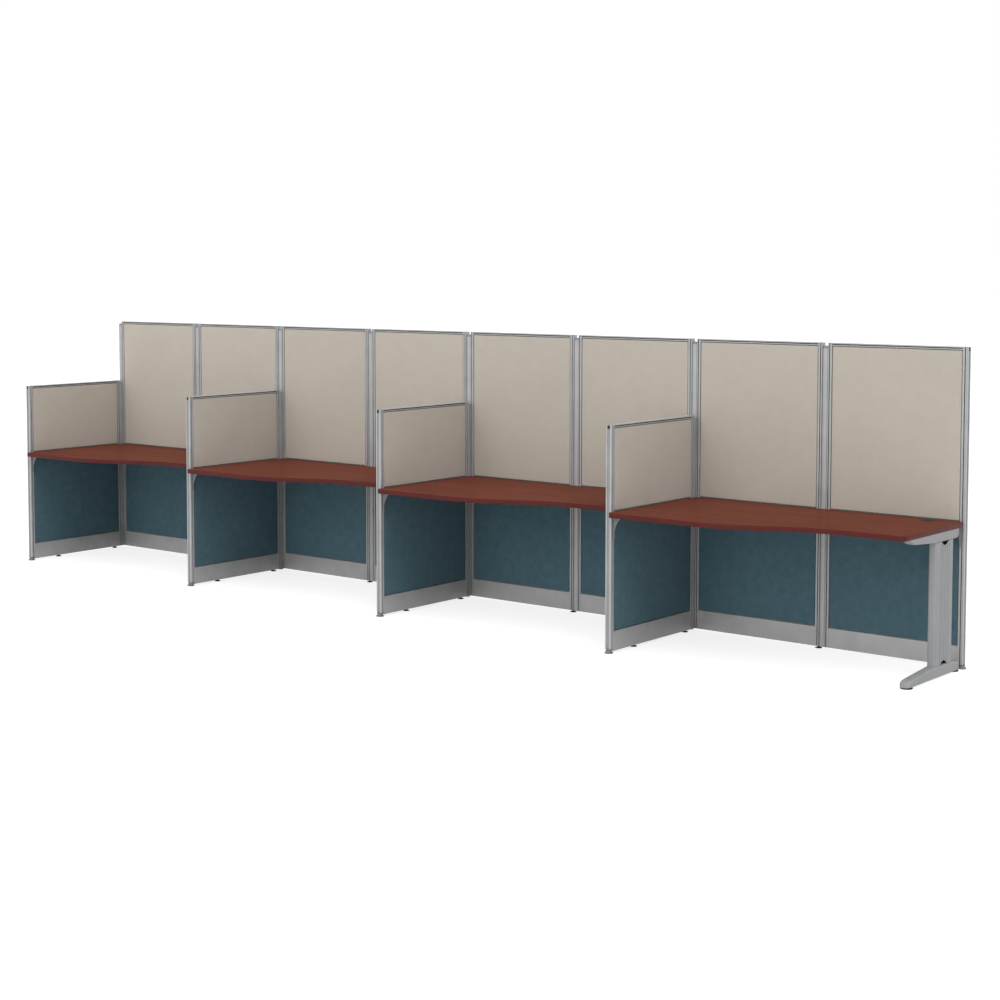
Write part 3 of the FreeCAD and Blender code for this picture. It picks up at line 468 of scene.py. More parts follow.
def bar(outline, low, high, along, ease=0.0005):
    # An outline carried along an axis from low to high, its two ends drawn in by ease.
    tight = drawnIn(outline, ease)
    rings = [
        carried(tight, low, along),
        carried(outline, low + ease, along),
        carried(outline, high - ease, along),
        carried(tight, high, along),
    ]
    return ringsToShell(np.array(rings))


def box(left, right, low, high):
    return [(left, low), (right, low), (right, high), (left, high)]


def turned(shell, quarters, x=0.0, y=0.0, z=0.0):
    # Turned about the upright axis by quarters of a turn, and then moved.
    points, faces = shell
    c, s = ((1, 0), (0, 1), (-1, 0), (0, -1))[quarters % 4]
    across = points[:, 0] * c - points[:, 1] * s + x
    deep = points[:, 0] * s + points[:, 1] * c + y
    return np.stack([across, deep, points[:, 2] + z], axis=1), faces


def lathe(section, steps=48, looped=False):
    # A section of radii and heights spun about the upright axis.
    section = np.asarray(section, float)
    angle = np.linspace(0, 2 * math.pi, steps, endpoint=False)
    radius = section[:, 0][:, None]
    rings = np.stack(
        [
            radius * np.cos(angle),
            radius * np.sin(angle),
            np.repeat(section[:, 1][:, None], steps, axis=1),
        ],
        axis=-1,
    )
    return ringsToShell(rings, capped=False, looped=looped)


def makePiece(name, shells, slotName, nodes, body="row", sharpAngle=32.0):
    # Joins shells into one object, merges doubles, turns faces outwards, sets its finish and
    # its body, and hides the imported nodes that it stands for.
    points = np.concatenate([shell[0] for shell in shells])
    starts = np.cumsum([0] + [len(shell[0]) for shell in shells[:-1]])
    faces = [
        [corner + int(start) for corner in face]
        for start, shell in zip(starts, shells)
        for face in shell[1]
    ]
    mesh = bpy.data.meshes.new(name)
    mesh.from_pydata(points.tolist(), [], faces)
    build = bmesh.new()
    build.from_mesh(mesh)
    bmesh.ops.remove_doubles(build, verts=build.verts, dist=1e-6)
    bmesh.ops.dissolve_degenerate(build, edges=build.edges, dist=1e-7)
    bmesh.ops.recalc_face_normals(build, faces=build.faces)
    build.to_mesh(mesh)
    build.free()
    mesh.shade_smooth()
    mesh.set_sharp_from_angle(angle=math.radians(sharpAngle))
    mesh.materials.append(finishes[slotFinishes[slotName]])
    piece = bpy.data.objects.new(name, mesh)
    bpy.context.scene.collection.objects.link(piece)
    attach(piece, body)
    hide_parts(*nodes)
    return piece


# Screens. A screen's own frame: x along it from its first end, y = 0 in its middle,
# z from the floor.

screen = {
    "thickness": 0.036,
    "bottom": 0.011,
    "stile": 0.022,
    "grooveInset": 0.0065,
    "grooveWidth": 0.005,
    "grooveDepth": 0.007,
    "topRail": 0.015,
    "lip": 0.010,
    "halfLip": 0.0042,
    "edgeGap": 0.004,
    "baseRail": (0.045, 0.095, 0.010),
    "midRail": (0.7236, 0.7536),
    "split": (0.7366, 0.7406),
    "kickTop": 0.115,
    "kickRecess": 0.0005,
    "kickGap": 0.0003,
    "kickWall": 0.002,
    "kickEndGap": 0.0005,
    "boardDepth": 0.012,
    "boardBack": 0.0015,
    "boardRound": 0.0028,
    "crown": 0.0007,
}
half = screen["thickness"] / 2
aboveShoe = 0.0225
tallScreen = {"width": 0.762, "height": 1.6, "bottoms": (0.011, 0.011)}
endScreen = {"width": 0.762, "height": 1.6, "bottoms": (0.011, aboveShoe)}
lowScreen = {"width": 0.775, "height": 1.184, "bottoms": (aboveShoe, 0.011)}


def stileOutline():
    width, depth = screen["stile"], screen["grooveDepth"]
    start = screen["grooveInset"]
    end = start + screen["grooveWidth"]
    floor = half - depth
    front = [(0, -half), (start, -half), (start, -floor), (end, -floor), (end, -half)]
    rear = [(end, half), (end, floor), (start, floor), (start, half), (0, half)]
    corners = front + [(width, -half), (width, half)] + rear
    radii = [0.0024, 0.0006, 0.0004, 0.0004, 0.0006, 0.0008]
    return easedOutline(corners, radii + radii[::-1])


def stile(bottom, height):
    width, lip, reach = screen["stile"], screen["lip"], screen["halfLip"]
    lipTop = height - screen["topRail"] - lip
    lipLow = screen["kickTop"] + screen["edgeGap"] + lip
    tongue = easedOutline(box(width - 0.001, width + lip, -reach, reach), 0.0004, 3)
    return [
        bar(stileOutline(), bottom, height, "z"),
        bar(tongue, lipLow, lipTop, "z"),
    ]


def topRail(width, height):
    low = height - screen["topRail"]
    lip, reach = screen["lip"], screen["halfLip"]
    grooveLow = height - (screen["topRail"] + screen["grooveWidth"]) / 2
    grooveHigh = grooveLow + screen["grooveWidth"]
    floor = half - screen["grooveDepth"]
    right = [
        (reach, low - lip), (reach, low), (half, low), (half, grooveLow),
        (floor, grooveLow), (floor, grooveHigh), (half, grooveHigh), (half, height),
    ]
    radii = [0.0004, 0.0004, 0.0008, 0.0006, 0.0004, 0.0004, 0.0006, 0.0018]
    left = [(-y, z) for y, z in right[::-1]]
    outline = easedOutline(right + left, radii + radii[::-1])
    return bar(outline, screen["stile"], width - screen["stile"], "x", 0.0003)


def rails(width):
    start = screen["stile"] + screen["lip"]
    low, high = screen["midRail"]
    middle = easedOutline(box(-screen["halfLip"], screen["halfLip"], low, high), 0.0006)
    low, high, reach = screen["baseRail"]
    base = easedOutline(box(-reach, reach, low, high), 0.0012)
    lipTop = screen["kickTop"] + screen["edgeGap"] + screen["lip"]
    tongue = easedOutline(
        box(-screen["halfLip"], screen["halfLip"], high - 0.002, lipTop), 0.0006
    )
    end = width - screen["stile"]
    return [
        bar(middle, start, width - start, "x"),
        bar(base, screen["stile"], end, "x"),
        bar(tongue, screen["stile"], end, "x"),
    ]


def clothBoard(width, low, high):
    # A wrapped board: rectangles with small round corners, each inset by i at depth d,
    # from its back over a quarter round and up a shallow crown.
    start = screen["stile"] + screen["edgeGap"]
    face = screen["boardBack"] - half
    radius = screen["boardRound"]
    turn = np.linspace(0, math.pi / 2, 7)
    crownInsets = [0.008, 0.018, 0.035, 0.06, 0.1]
    insets = np.concatenate([[0.0], radius * (1 - np.cos(turn)), crownInsets])
    rise = np.array([0.25, 0.5, 0.75, 0.93, 1.0]) * screen["crown"]
    depths = np.concatenate(
        [[face + screen["boardDepth"]], face + radius * (1 - np.sin(turn)), face - rise]
    )
    rings = []
    for i, depth in zip(insets, depths):
        corners = box(start + i, width - start - i, low + i, high - i)
        rings.append(carried(easedOutline(corners, max(0.004 - i, 0.001), 5), depth, "y"))
    return ringsToShell(np.array(rings))


def kickPlate(width):
    # A folded sheet: face, and a flange along its top and its bottom.
    face = screen["kickRecess"] - half
    back = -screen["halfLip"] - screen["kickGap"]
    low, high, wall = screen["bottom"], screen["kickTop"], screen["kickWall"]
    corners = [
        (face, low), (back, low), (back, low + wall), (face + wall, low + wall),
        (face + wall, high - wall), (back, high - wall), (back, high), (face, high),
    ]
    radii = [0.0024, 0.0004, 0.0004, 0.0006, 0.0006, 0.0004, 0.0004, 0.0024]
    start = screen["stile"] + screen["kickEndGap"]
    return bar(easedOutline(corners, radii, 5), start, width - start, "x", 0.0003)


def screenShells(kind):
    width, height = kind["width"], kind["height"]
    gap = screen["edgeGap"]
    lowerTop, upperLow = screen["split"]
    upper = clothBoard(width, upperLow, height - screen["topRail"] - gap)
    lower = clothBoard(width, screen["kickTop"] + gap, lowerTop)
    kick = kickPlate(width)
    firstBottom, lastBottom = kind["bottoms"]
    last = [turned(shell, 2, x=width) for shell in stile(lastBottom, height)]
    frames = stile(firstBottom, height) + last + rails(width)
    return {
        "frame": frames + [topRail(width, height)],
        "upper": [upper, turned(upper, 2, x=width)],
        "lower": [lower, turned(lower, 2, x=width)],
        "kick": [kick, turned(kick, 2, x=width)],
    }


def paintGrooveShade(piece, axis, middle, floor, share=1.0, near=0.0006):
    # Gives a share of painted shade to the points at one distance from a plane across the axis:
    # the floors of the grooves.
    mesh = piece.data
    points = np.empty(len(mesh.vertices) * 3)
    mesh.vertices.foreach_get("co", points)
    depth = np.abs(points.reshape(-1, 3)[:, axis] - middle)
    marks = (np.abs(depth - floor) < near) * share
    if "groove" not in mesh.attributes:
        mesh.attributes.new("groove", "FLOAT", "POINT")
    values = mesh.attributes["groove"].data
    before = np.empty(len(mesh.vertices))
    values.foreach_get("value", before)
    values.foreach_set("value", np.maximum(before, marks))


tallShells = screenShells(tallScreen)
endShells = screenShells(endScreen)
lowShells = screenShells(lowScreen)
lowStart = coverFront + row["coverDepth"]
kinds = {
    "upper": ("upperCloth", "upper_boards", "light_fabric"),
    "lower": ("lowerCloth", "lower_boards", "dark_fabric"),
    "kick": ("kickPlates", "kick_plates", "kick_paint"),
}
for station in range(row["stations"]):
    number = station + 1
    starts = [jointX(station * 2 + k) + row["halfPost"] for k in range(2)]
    side = lowJoints[station]
    lastKind = endShells if number == row["stations"] else tallShells
    tall = [
        turned(shell, 0, x=x, y=row["wallMiddle"])
        for x, shells in zip(starts, (tallShells, lastKind))
        for shell in shells["frame"]
    ]
    node = f"back_frames_{number}"
    piece = makePiece(f"backFrames_{number}", tall, "frame_metal", [node])
    # The groove floors of the tall and low frames get painted shade.
    paintGrooveShade(piece, 1, row["wallMiddle"], half - screen["grooveDepth"])
    low = [turned(shell, 1, x=side, y=lowStart) for shell in lowShells["frame"]]
    node = f"side_frame_{number}"
    piece = makePiece(f"sideFrame_{number}", low, "frame_metal", [node])
    paintGrooveShade(piece, 0, side, half - screen["grooveDepth"])
    for key, (pieceName, nodeName, slotName) in kinds.items():
        shells = [
            turned(shell, 0, x=x, y=row["wallMiddle"])
            for x in starts
            for shell in tallShells[key]
        ]
        shells += [turned(shell, 1, x=side, y=lowStart) for shell in lowShells[key]]
        makePiece(f"{pieceName}_{number}", shells, slotName, [f"{nodeName}_{number}"])
print("screens made")


# Posts between the screens, their caps, and the covers on the free ends.

post = {
    "width": 0.0336,
    "depth": 0.034,
    "corner": 0.011,
    "low": 0.011,
    "top": 1.584,
    "cap": 0.014,
    "capInset": 0.001,
    "capRings": [(0.0, 0.0), (0.0, 0.010), (0.0012, 0.0128), (0.0035, 0.014)],
    "teeTop": 1.168,
    "teeDepth": 0.021,
    "teeSeat": 0.0008,
}
cover = {
    "corner": 0.0045,
    "channel": (0.008, 0.003),
    "cap": 0.015,
    "capDrop": 0.005,
    "shade": 0.35,
}


def madePosts():
    wide, deep = post["width"] / 2, post["depth"] / 2
    outline = easedOutline(box(-wide, wide, -deep, deep), post["corner"], 8)
    capLow = post["top"] - post["cap"]
    upright = bar(outline, post["low"], capLow, "z", 0.0004)
    small = drawnIn(outline, post["capInset"])
    # The cap's top is drawn in over three rings, as a moulded cap's is.
    rings = [carried(drawnIn(small, i), capLow + z, "z") for i, z in post["capRings"]]
    cap = ringsToShell(np.array(rings))
    teeBack = row["fit"] - post["teeDepth"]
    tee = easedOutline(box(-wide, wide, teeBack, post["teeSeat"]), 0.0012)
    tee = bar(tee, post["low"], post["teeTop"], "z")
    inWall, onWall = (wallJoints, row["wallMiddle"]), (lowJoints, row["wallFace"])
    for name, node, shell, slotName, (joints, y) in (
        ("connectorPosts", "connector_posts", upright, "frame_metal", inWall),
        ("connectorCaps", "connector_caps", cap, "grey_plastic", inWall),
        ("teePosts", "tee_posts", tee, "frame_metal", onWall),
    ):
        shells = [turned(shell, 0, x=x, y=y) for x in joints]
        makePiece(name, shells, slotName, [node])


def endCover(height):
    # A cover with round front corners and a channel down its middle, and the cap that
    # closes the channel near its top.
    wide, floor = cover["channel"]
    corners = [
        (-half, 0), (-wide, 0), (-wide, floor), (wide, floor), (wide, 0), (half, 0),
        (half, row["coverDepth"]), (-half, row["coverDepth"]),
    ]
    sides = [cover["corner"], 0.0007, 0.0004]
    outline = easedOutline(corners, sides + sides[::-1] + [0.0003, 0.0003], 7)
    reach = wide - row["fit"]
    plug = easedOutline(box(-reach, reach, 0, floor - row["fit"]), 0.0006)
    top = height - cover["capDrop"]
    return (
        bar(outline, aboveShoe, height, "z", 0.0003),
        bar(plug, top - cover["cap"], top, "z", 0.0006),
    )


def madeCovers():
    # The low screens' front ends, and the row's right end, a quarter turn round.
    low, tall = endCover(lowScreen["height"]), endCover(tallScreen["height"])
    names = (("endCovers", "frame_metal"), ("endCaps", "black_plastic"))
    nodes = ("end_covers", "end_caps")
    for (pieceName, slotName), node, lowShell, tallShell in zip(names, nodes, low, tall):
        shells = [turned(lowShell, 0, x=x, y=coverFront) for x in lowJoints]
        shells.append(turned(tallShell, 1, x=coverRight, y=row["wallMiddle"]))
        piece = makePiece(pieceName, shells, slotName, [node])
        floor = cover["channel"][1]
        if slotName == "frame_metal":
            # The channel floors of the covers get a share of painted shade.
            paintGrooveShade(piece, 1, coverFront, floor, cover["shade"])
            paintGrooveShade(piece, 0, coverRight, floor, cover["shade"])


madePosts()
madeCovers()
print("posts and covers made")


# Worksurfaces. Their own frame: x from the left edge, y = 0 at the back edge.

surface = {
    "depth": 0.84,
    "shortDepth": 0.64,
    "curveStart": 0.5,
    "curveRun": 0.76,
    "corner": 0.025,
    "band": 0.002,
    "seat": 0.0021,
    "bandRound": 0.0012,
    "sideGap": 0.0185,
    "wallGap": 0.0005,
    "grommetSide": 0.164,
    "grommetBack": 0.068,
    "rebate": (0.0392, 0.0025),
    "hole": 0.034,
    "lastStop": 0.015,
    "wellSteps": 48,
}


def arc(centreX, centreY, radius, start, end, steps):
    # centre + radius * (cos a, sin a), with a even from start to end in degrees.
    angle = np.radians(np.linspace(start, end, steps))
    return np.stack([centreX + radius * np.cos(angle), centreY + radius * np.sin(angle)], axis=1)


def surfaceOutline(width, inset):
    # Parallel to the true edge and inset from it. The wave in the front is two arcs of
    # radius (run^2 / 4 + rise^2 / 4) / rise, the first about a centre behind the edge
    # and the second about one in front of it.
    halfRun = surface["curveRun"] / 2
    halfRise = (surface["depth"] - surface["shortDepth"]) / 2
    radius = (halfRun**2 + halfRise**2) / (2 * halfRise)
    lean = math.degrees(math.asin(halfRun / radius))
    deep, short, corner = surface["depth"], surface["shortDepth"], surface["corner"]
    tight = corner - inset
    start = surface["curveStart"]
    end = start + surface["curveRun"]
    pieces = [
        arc(corner, corner - deep, tight, 180, 270, 9),
        arc(start, radius - deep, radius - inset, 270, 270 + lean, 28),
        arc(end, -radius - short, radius + inset, 90 + lean, 90, 28),
        arc(width - corner, corner - short, tight, 270, 360, 9),
        arc(width - corner, -corner, tight, 0, 90, 9),
        np.array([[inset, -inset]]),
    ]
    return np.concatenate(pieces)


def filledPlate(outline, hole, z):
    # A flat face with a round hole.
    loops = [[Vector((x, y, 0)) for x, y in loop] for loop in (outline, hole)]
    triangles = tessellate_polygon(loops)
    points = np.concatenate([outline, hole])
    return np.column_stack([points, np.full(len(points), z)]), [list(t) for t in triangles]


def worktopShells(width):
    top, under = row["surfaceTop"], row["surfaceUnder"]
    outline = surfaceOutline(width, surface["seat"])
    centre = (width - surface["grommetSide"], -surface["grommetBack"])
    wide, depth = surface["rebate"]
    steps = surface["wellSteps"]
    rim = arc(*centre, wide, 0, 360 - 360 / steps, steps)
    hole = arc(*centre, surface["hole"], 0, 360 - 360 / steps, steps)
    walls = ringsToShell(
        np.array([carried(outline, under, "z"), carried(outline, top, "z")]), False
    )
    edges = [(rim, top), (rim, top - depth), (hole, top - depth), (hole, under)]
    well = ringsToShell(np.array([carried(ring, z, "z") for ring, z in edges]), False)
    return [filledPlate(outline, rim, top), filledPlate(outline, hole, under), walls, well]


def bandShell(width):
    # A thin closed section, round at its outer corners, carried round the outline.
    top, under = row["surfaceTop"], row["surfaceUnder"]
    section = easedOutline(
        box(0, surface["band"], under, top),
        [surface["bandRound"], 0.0001, 0.0001, surface["bandRound"]],
        4,
    )
    rings = [carried(surfaceOutline(width, inset), z, "z") for inset, z in section]
    return ringsToShell(np.array(rings), looped=True)


bay = row["pitch"] * 2
widths = [bay - surface["sideGap"] * 2] * (row["stations"] - 1)
widths.append(bay - surface["sideGap"] - surface["lastStop"])
backEdge = row["wallFace"] - surface["wallGap"]
grommetSpots = []
bands = []
for station, width in enumerate(widths):
    left = lowJoints[station] + surface["sideGap"]
    grommetSpots.append(
        (left + width - surface["grommetSide"], backEdge - surface["grommetBack"])
    )
    shells = [turned(shell, 0, x=left, y=backEdge) for shell in worktopShells(width)]
    node = f"worksurface_{station + 1}"
    makePiece(f"worktop_{station + 1}", shells, "worktop_laminate", [node])
    bands.append(turned(bandShell(width), 0, x=left, y=backEdge))
makePiece("worktopBands", bands, "edge_band", ["edge_bands"])
print("worksurfaces made")


# Cable grommets: a liner let into the top and a closed cap in it.

grommet = {
    "outer": 0.0338,
    "inner": 0.0302,
    "ledge": 0.0272,
    "ledgeDrop": 0.0045,
    "flange": 0.039,
    "cap": [
        (0.0, -0.0004), (0.016, -0.0004), (0.024, -0.0002), (0.0288, -0.0001),
        (0.0295, -0.0004), (0.03, -0.001), (0.03, -0.0043), (0.0, -0.0043),
    ],
    "steps": 64,
}


def madeGrommets():
    top, under = row["surfaceTop"], row["surfaceUnder"]
    flangeLow, ledgeTop = top - surface["rebate"][1], top - grommet["ledgeDrop"]
    ledge, outer = grommet["ledge"], grommet["outer"]
    flange, inner = grommet["flange"], grommet["inner"]
    section = easedOutline(
        [
            (ledge, under), (outer, under), (outer, flangeLow), (flange, flangeLow),
            (flange, top), (inner, top), (inner, ledgeTop), (ledge, ledgeTop),
        ],
        [0.0003, 0.0003, 0.0003, 0.0003, 0.0009, 0.0006, 0.0002, 0.0003],
    )
    liner = lathe(section, grommet["steps"], looped=True)
    cap = lathe([(radius, top + z) for radius, z in grommet["cap"]], grommet["steps"])
    pairs = (("grommetLiners", "grommet_liners", liner), ("grommetCaps", "grommet_caps", cap))
    for name, node, shell in pairs:
        shells = [turned(shell, 0, x=x, y=y) for x, y in grommetSpots]
        makePiece(name, shells, "black_plastic", [node])


madeGrommets()


# Fin brackets under the worksurfaces.

fin = {"reach": 0.047, "height": 0.111, "nose": 0.008, "toe": 0.012, "thickness": 0.004}


def madeBrackets():
    start, bow = row["fit"], fin["height"]
    top = row["surfaceUnder"] - start
    low = np.array([start + fin["toe"], top - fin["height"]])
    high = np.array([start + fin["reach"], top - fin["nose"]])
    # The hollow edge is an arc of radius bow between two points: its centre is
    # sqrt(bow^2 - (chord / 2)^2) from the chord's middle, away from the plate.
    chord = high - low
    length = np.linalg.norm(chord)
    outward = np.array([chord[1], -chord[0]]) / length
    centre = (low + high) / 2 + outward * math.sqrt(bow**2 - (length / 2) ** 2)
    first = math.degrees(math.atan2(*(low - centre)[::-1]))
    last = math.degrees(math.atan2(*(high - centre)[::-1]))
    first, last = first % 360, last % 360
    hollow = arc(*centre, bow, first, last, 24)
    outline = np.concatenate(
        [[(start, top - fin["height"])], hollow, [(start + fin["reach"], top), (start, top)]]
    )
    plate = bar(outline, -fin["thickness"] / 2, fin["thickness"] / 2, "y")
    front = lowStart + screen["stile"] / 2
    beforeJoint = row["halfPost"] + screen["stile"] - fin["thickness"]
    shells = []
    for x, nextX in zip(lowJoints, lowJoints[1:] + [rightJoint]):
        shells.append(turned(plate, 0, x=x + half, y=front))
        shells.append(turned(plate, 3, x=nextX - beforeJoint, y=row["wallFace"]))
    makePiece("finBrackets", shells, "bracket_paint", ["surface_brackets"])


madeBrackets()
print("grommets and brackets made")


# The C-shaped leg. Its own frame: x = 0 in its middle, y = 0 at the wall's face.

leg = {
    "inset": 0.038,
    "columnWidth": 0.045,
    "columnFront": -0.303,
    "columnBack": -0.110,
    "wall": 0.004,
    "corner": 0.016,
    "coverDepth": 0.017,
    "coverCorner": 0.015,
    "flutes": 5,
    "fluteSpacing": 0.022,
    "fluteWidth": 0.006,
    "fluteDepth": 0.002,
    "port": 0.047,
    "portHeight": 0.020,
}
arm = {
    "width": 0.045,
    "depth": 0.045,
    "bends": [-0.59, -0.533, -0.303, -0.110, -0.0715, -0.058],
    "drops": [0.003, 0.0275, 0.045, 0.045, 0.045, 0.027],
    "rings": [
        (-0.59, -0.52, 18), (-0.50, -0.32, 8), (-0.311, -0.295, 5), (-0.110, -0.08, 3),
        (-0.0765, -0.058, 9),
    ],
    "bendEase": 0.005,
    "corner": 0.004,
}
foot = {
    "width": 0.055,
    "crown": 0.060,
    "low": 0.008,
    "front": -0.590,
    "back": -0.024,
    "toe": {"run": 0.058, "bow": 0.0741, "top": 0.042},
    "heel": {"run": 0.018, "bow": 0.018, "top": 0.0475},
    "rings": [(-0.52, -0.303, 12), (-0.293, -0.110, 8), (-0.100, -0.060, 4)],
    "plan": 0.0255,
    "crest": 0.009,
    "soleEase": 0.0015,
}
legX = rightJoint - leg["inset"]
armLow = row["surfaceUnder"] - arm["depth"]


def legPiece(name, shells, node, sharpAngle=32.0):
    placed = [turned(shell, 0, x=legX, y=row["wallFace"]) for shell in shells]
    return makePiece(name, placed, "leg_paint", [node], sharpAngle=sharpAngle)


def columnShell():
    openSide = leg["columnWidth"] / 2 - leg["coverDepth"] - row["fit"]
    left = -leg["columnWidth"] / 2
    front, back, wall = leg["columnFront"], leg["columnBack"], leg["wall"]
    corners = [
        (openSide, front + wall), (left + wall, front + wall), (left + wall, back - wall),
        (openSide, back - wall), (openSide, back), (left, back), (left, front),
        (openSide, front),
    ]
    inner = leg["corner"] - wall
    radii = [0.0004, inner, inner, 0.0004, 0.0004, leg["corner"], leg["corner"], 0.0004]
    outline = easedOutline(corners, radii, 10)[::-1]
    return bar(outline, foot["crown"], armLow, "z", 0.0002)


def coverShell():
    # A C-shaped sheet between an outer and an inner line with as many points. It starts
    # and ends at z = limit -+ lift. In a port lift = sqrt(port^2 - (y - middle)^2) less
    # how far the port's centre lies beyond the sheet, and outside a port it is zero.
    front, back = leg["columnFront"], leg["columnBack"]
    middle = (front + back) / 2
    face = leg["columnWidth"] / 2
    rear = face - leg["coverDepth"]
    corner = leg["coverCorner"]
    beyond = leg["port"] - leg["portHeight"]
    halfPort = math.sqrt(leg["port"] ** 2 - beyond**2)
    inPort = middle + halfPort * np.cos(np.linspace(0, math.pi, 41))
    along = np.linspace(front + corner, back - corner, 363)[1:-1]
    y = np.unique(np.concatenate([along, inPort]))
    spacing = leg["fluteSpacing"]
    fromFlute = np.abs((y - middle + spacing / 2) % spacing - spacing / 2)
    fluted = np.abs(y - middle) < spacing * leg["flutes"] / 2
    hollow = np.clip(1 - (fromFlute / (leg["fluteWidth"] / 2)) ** 4, 0, 1) ** 0.5
    turn = np.linspace(0, math.pi / 2, 12)
    lines = []
    for inset, depth in ((0.0, leg["fluteDepth"]), (leg["wall"], 0.0)):
        radius = corner - inset
        out, up = radius * np.cos(turn), radius * np.sin(turn)
        faceLine = np.stack([face - inset - depth * hollow * fluted, y], axis=1)
        firstArc = np.stack([face - corner + up, front + corner - out], axis=1)
        lastArc = np.stack([face - corner + out, back - corner + up], axis=1)
        ends = [[(rear, front + inset)], [(rear, back - inset)]]
        lines.append(np.concatenate([ends[0], firstArc, faceLine, lastArc, ends[1]]))
    outer, inner = lines
    section = np.concatenate([outer, inner[::-1]])
    lift = np.sqrt(np.maximum(leg["port"] ** 2 - (section[:, 1] - middle) ** 2, 0))
    lift = np.maximum(lift - beyond, 0)
    rows = 12
    share = np.linspace(0, 1, rows)[:, None]
    z = (foot["crown"] + lift) * (1 - share) + (armLow - lift) * share
    flat = np.tile(section, (rows, 1, 1))
    points, faces = ringsToShell(np.concatenate([flat, z[..., None]], axis=-1), False)
    # Each end is closed by quads between the two lines.
    count = len(outer)
    near = np.arange(count - 1)
    far = 2 * count - 1 - near
    for first in (0, (rows - 1) * 2 * count):
        quads = np.stack([near, near + 1, far - 1, far], axis=1) + first
        faces += quads.tolist()
    return points, faces


def armShell():
    # The beam under the top: its underside falls from the tip to the column and rises
    # behind it, with its bends rounded, and each ring is a box with round lower corners.
    top = row["surfaceUnder"]
    y = np.concatenate([np.linspace(*span) for span in arm["rings"]])
    shifts = np.linspace(-arm["bendEase"], arm["bendEase"], 5)
    drop = np.interp(y[:, None] + shifts, arm["bends"], arm["drops"]).mean(axis=1)
    wide = arm["width"] / 2
    turn = np.linspace(0, math.pi / 2, 6)
    rings = []
    for place, depth in zip(y, drop):
        radius = min(arm["corner"], depth * 0.45)
        left = np.stack(
            [-wide + radius * (1 - np.cos(turn)), top - depth + radius * (1 - np.sin(turn))],
            axis=1,
        )
        right = left[::-1] * [-1, 1]
        upper = [(wide, top), (-wide, top)]
        rings.append(carried(np.concatenate([left, right, upper]), place, "y"))
    return ringsToShell(np.array(rings))


def footShell():
    # Rings across the foot. Its top falls from the column to the toe and to the heel, and
    # over a run at each end it drops in an arc: drop = r - sqrt(r^2 - (run - to end)^2).
    # In plan both ends are round: half width = w - r + sqrt(r^2 - (r - to end)^2).
    front, back, toe, heel = foot["front"], foot["back"], foot["toe"], foot["heel"]
    crown, low, plan, crest = foot["crown"], foot["low"], foot["plan"], foot["crest"]
    columnFront, columnBack = leg["columnFront"], leg["columnBack"]
    toeShare, heelShare = (
        1 - np.cos(np.linspace(0, math.pi / 2, steps)) for steps in (24, 14)
    )
    spans = [np.linspace(*span) for span in foot["rings"]]
    y = np.concatenate([front + 0.062 * toeShare, *spans, (back - 0.03 * heelShare)[::-1]])
    top = np.interp(
        y,
        [front, front + toe["run"], columnFront, columnBack, back],
        [toe["top"], toe["top"], crown, crown, heel["top"]],
    )
    toEnd = np.minimum(y - front, back - y)
    atToe = y < columnFront
    run = np.where(atToe, toe["run"], heel["run"])
    bow = np.where(atToe, toe["bow"], heel["bow"])
    away = run - np.minimum(toEnd, run)
    top = top - (bow - np.sqrt(np.maximum(bow**2 - away**2, 0)))
    away = plan - np.minimum(toEnd, plan)
    wide = foot["width"] / 2 - (plan - np.sqrt(np.maximum(plan**2 - away**2, 0)))
    angle = np.linspace(0, math.pi / 2, 6)
    share = np.minimum(1, np.minimum(wide, top - low) / (crest * 1.6))
    radius = (crest * share)[:, None]
    rightX = wide[:, None] - radius * (1 - np.cos(angle))
    rightZ = top[:, None] - radius * (1 - np.sin(angle))
    ease = foot["soleEase"] * share[:, None]
    lowX = np.concatenate([wide[:, None] - ease, wide[:, None]], axis=1)
    lowZ = np.concatenate([low + 0 * ease, low + ease], axis=1)
    acrossX = np.concatenate([lowX, rightX], axis=1)
    acrossZ = np.concatenate([lowZ, rightZ], axis=1)
    x = np.concatenate([acrossX, -acrossX[:, ::-1]], axis=1)
    z = np.concatenate([acrossZ, acrossZ[:, ::-1]], axis=1)
    rings = np.stack([x, np.repeat(y[:, None], x.shape[1], axis=1), z], axis=-1)
    return ringsToShell(rings)


legPiece("legColumn", [columnShell()], "leg_column")
legPiece("legColumnCover", [coverShell()], "leg_column_cover", 24.0)
legPiece("legArm", [armShell()], "leg_arm", 40.0)
legPiece("legFoot", [footShell()], "leg_foot", 40.0)
print("leg made")


# Feet. Each is turned on a lathe and stands on its own threaded stem.

feet = {
    "stem": 0.004,
    "stemTop": 0.080,
    "glideStemTop": 0.030,
    "pitch": 0.00125,
    "threadDepth": 0.00022,
    "nut": {"radius": 0.0075, "low": 0.0068, "top": 0.0105},
    "level": [
        (0.0172, 0.0), (0.018, 0.0008), (0.018, 0.0024), (0.0174, 0.0031), (0.0125, 0.0042),
        (0.0085, 0.0062), (0.0074, 0.007),
    ],
    "shoe": [
        (0.0212, 0.0), (0.022, 0.0009), (0.022, 0.0044), (0.0213, 0.0056), (0.0187, 0.0072),
        (0.0167, 0.009), (0.016, 0.0106), (0.016, 0.0212), (0.0152, 0.022),
    ],
    "glide": [
        (0.029, 0.0), (0.030, 0.001), (0.030, 0.0042), (0.0292, 0.005), (0.0245, 0.0057),
        (0.0185, 0.0067), (0.016, 0.0075),
    ],
}


def threadSection(low, high):
    # A stem's radius waves once per turn of the thread.
    pitch, depth = feet["pitch"], feet["threadDepth"]
    z = np.linspace(low, high, int((high - low) / pitch) * 4 + 1)
    ripple = depth * (1 - np.cos((z - low) / pitch * 2 * math.pi)) / 2
    return [(feet["stem"] - r, height) for r, height in zip(ripple.tolist(), z.tolist())]


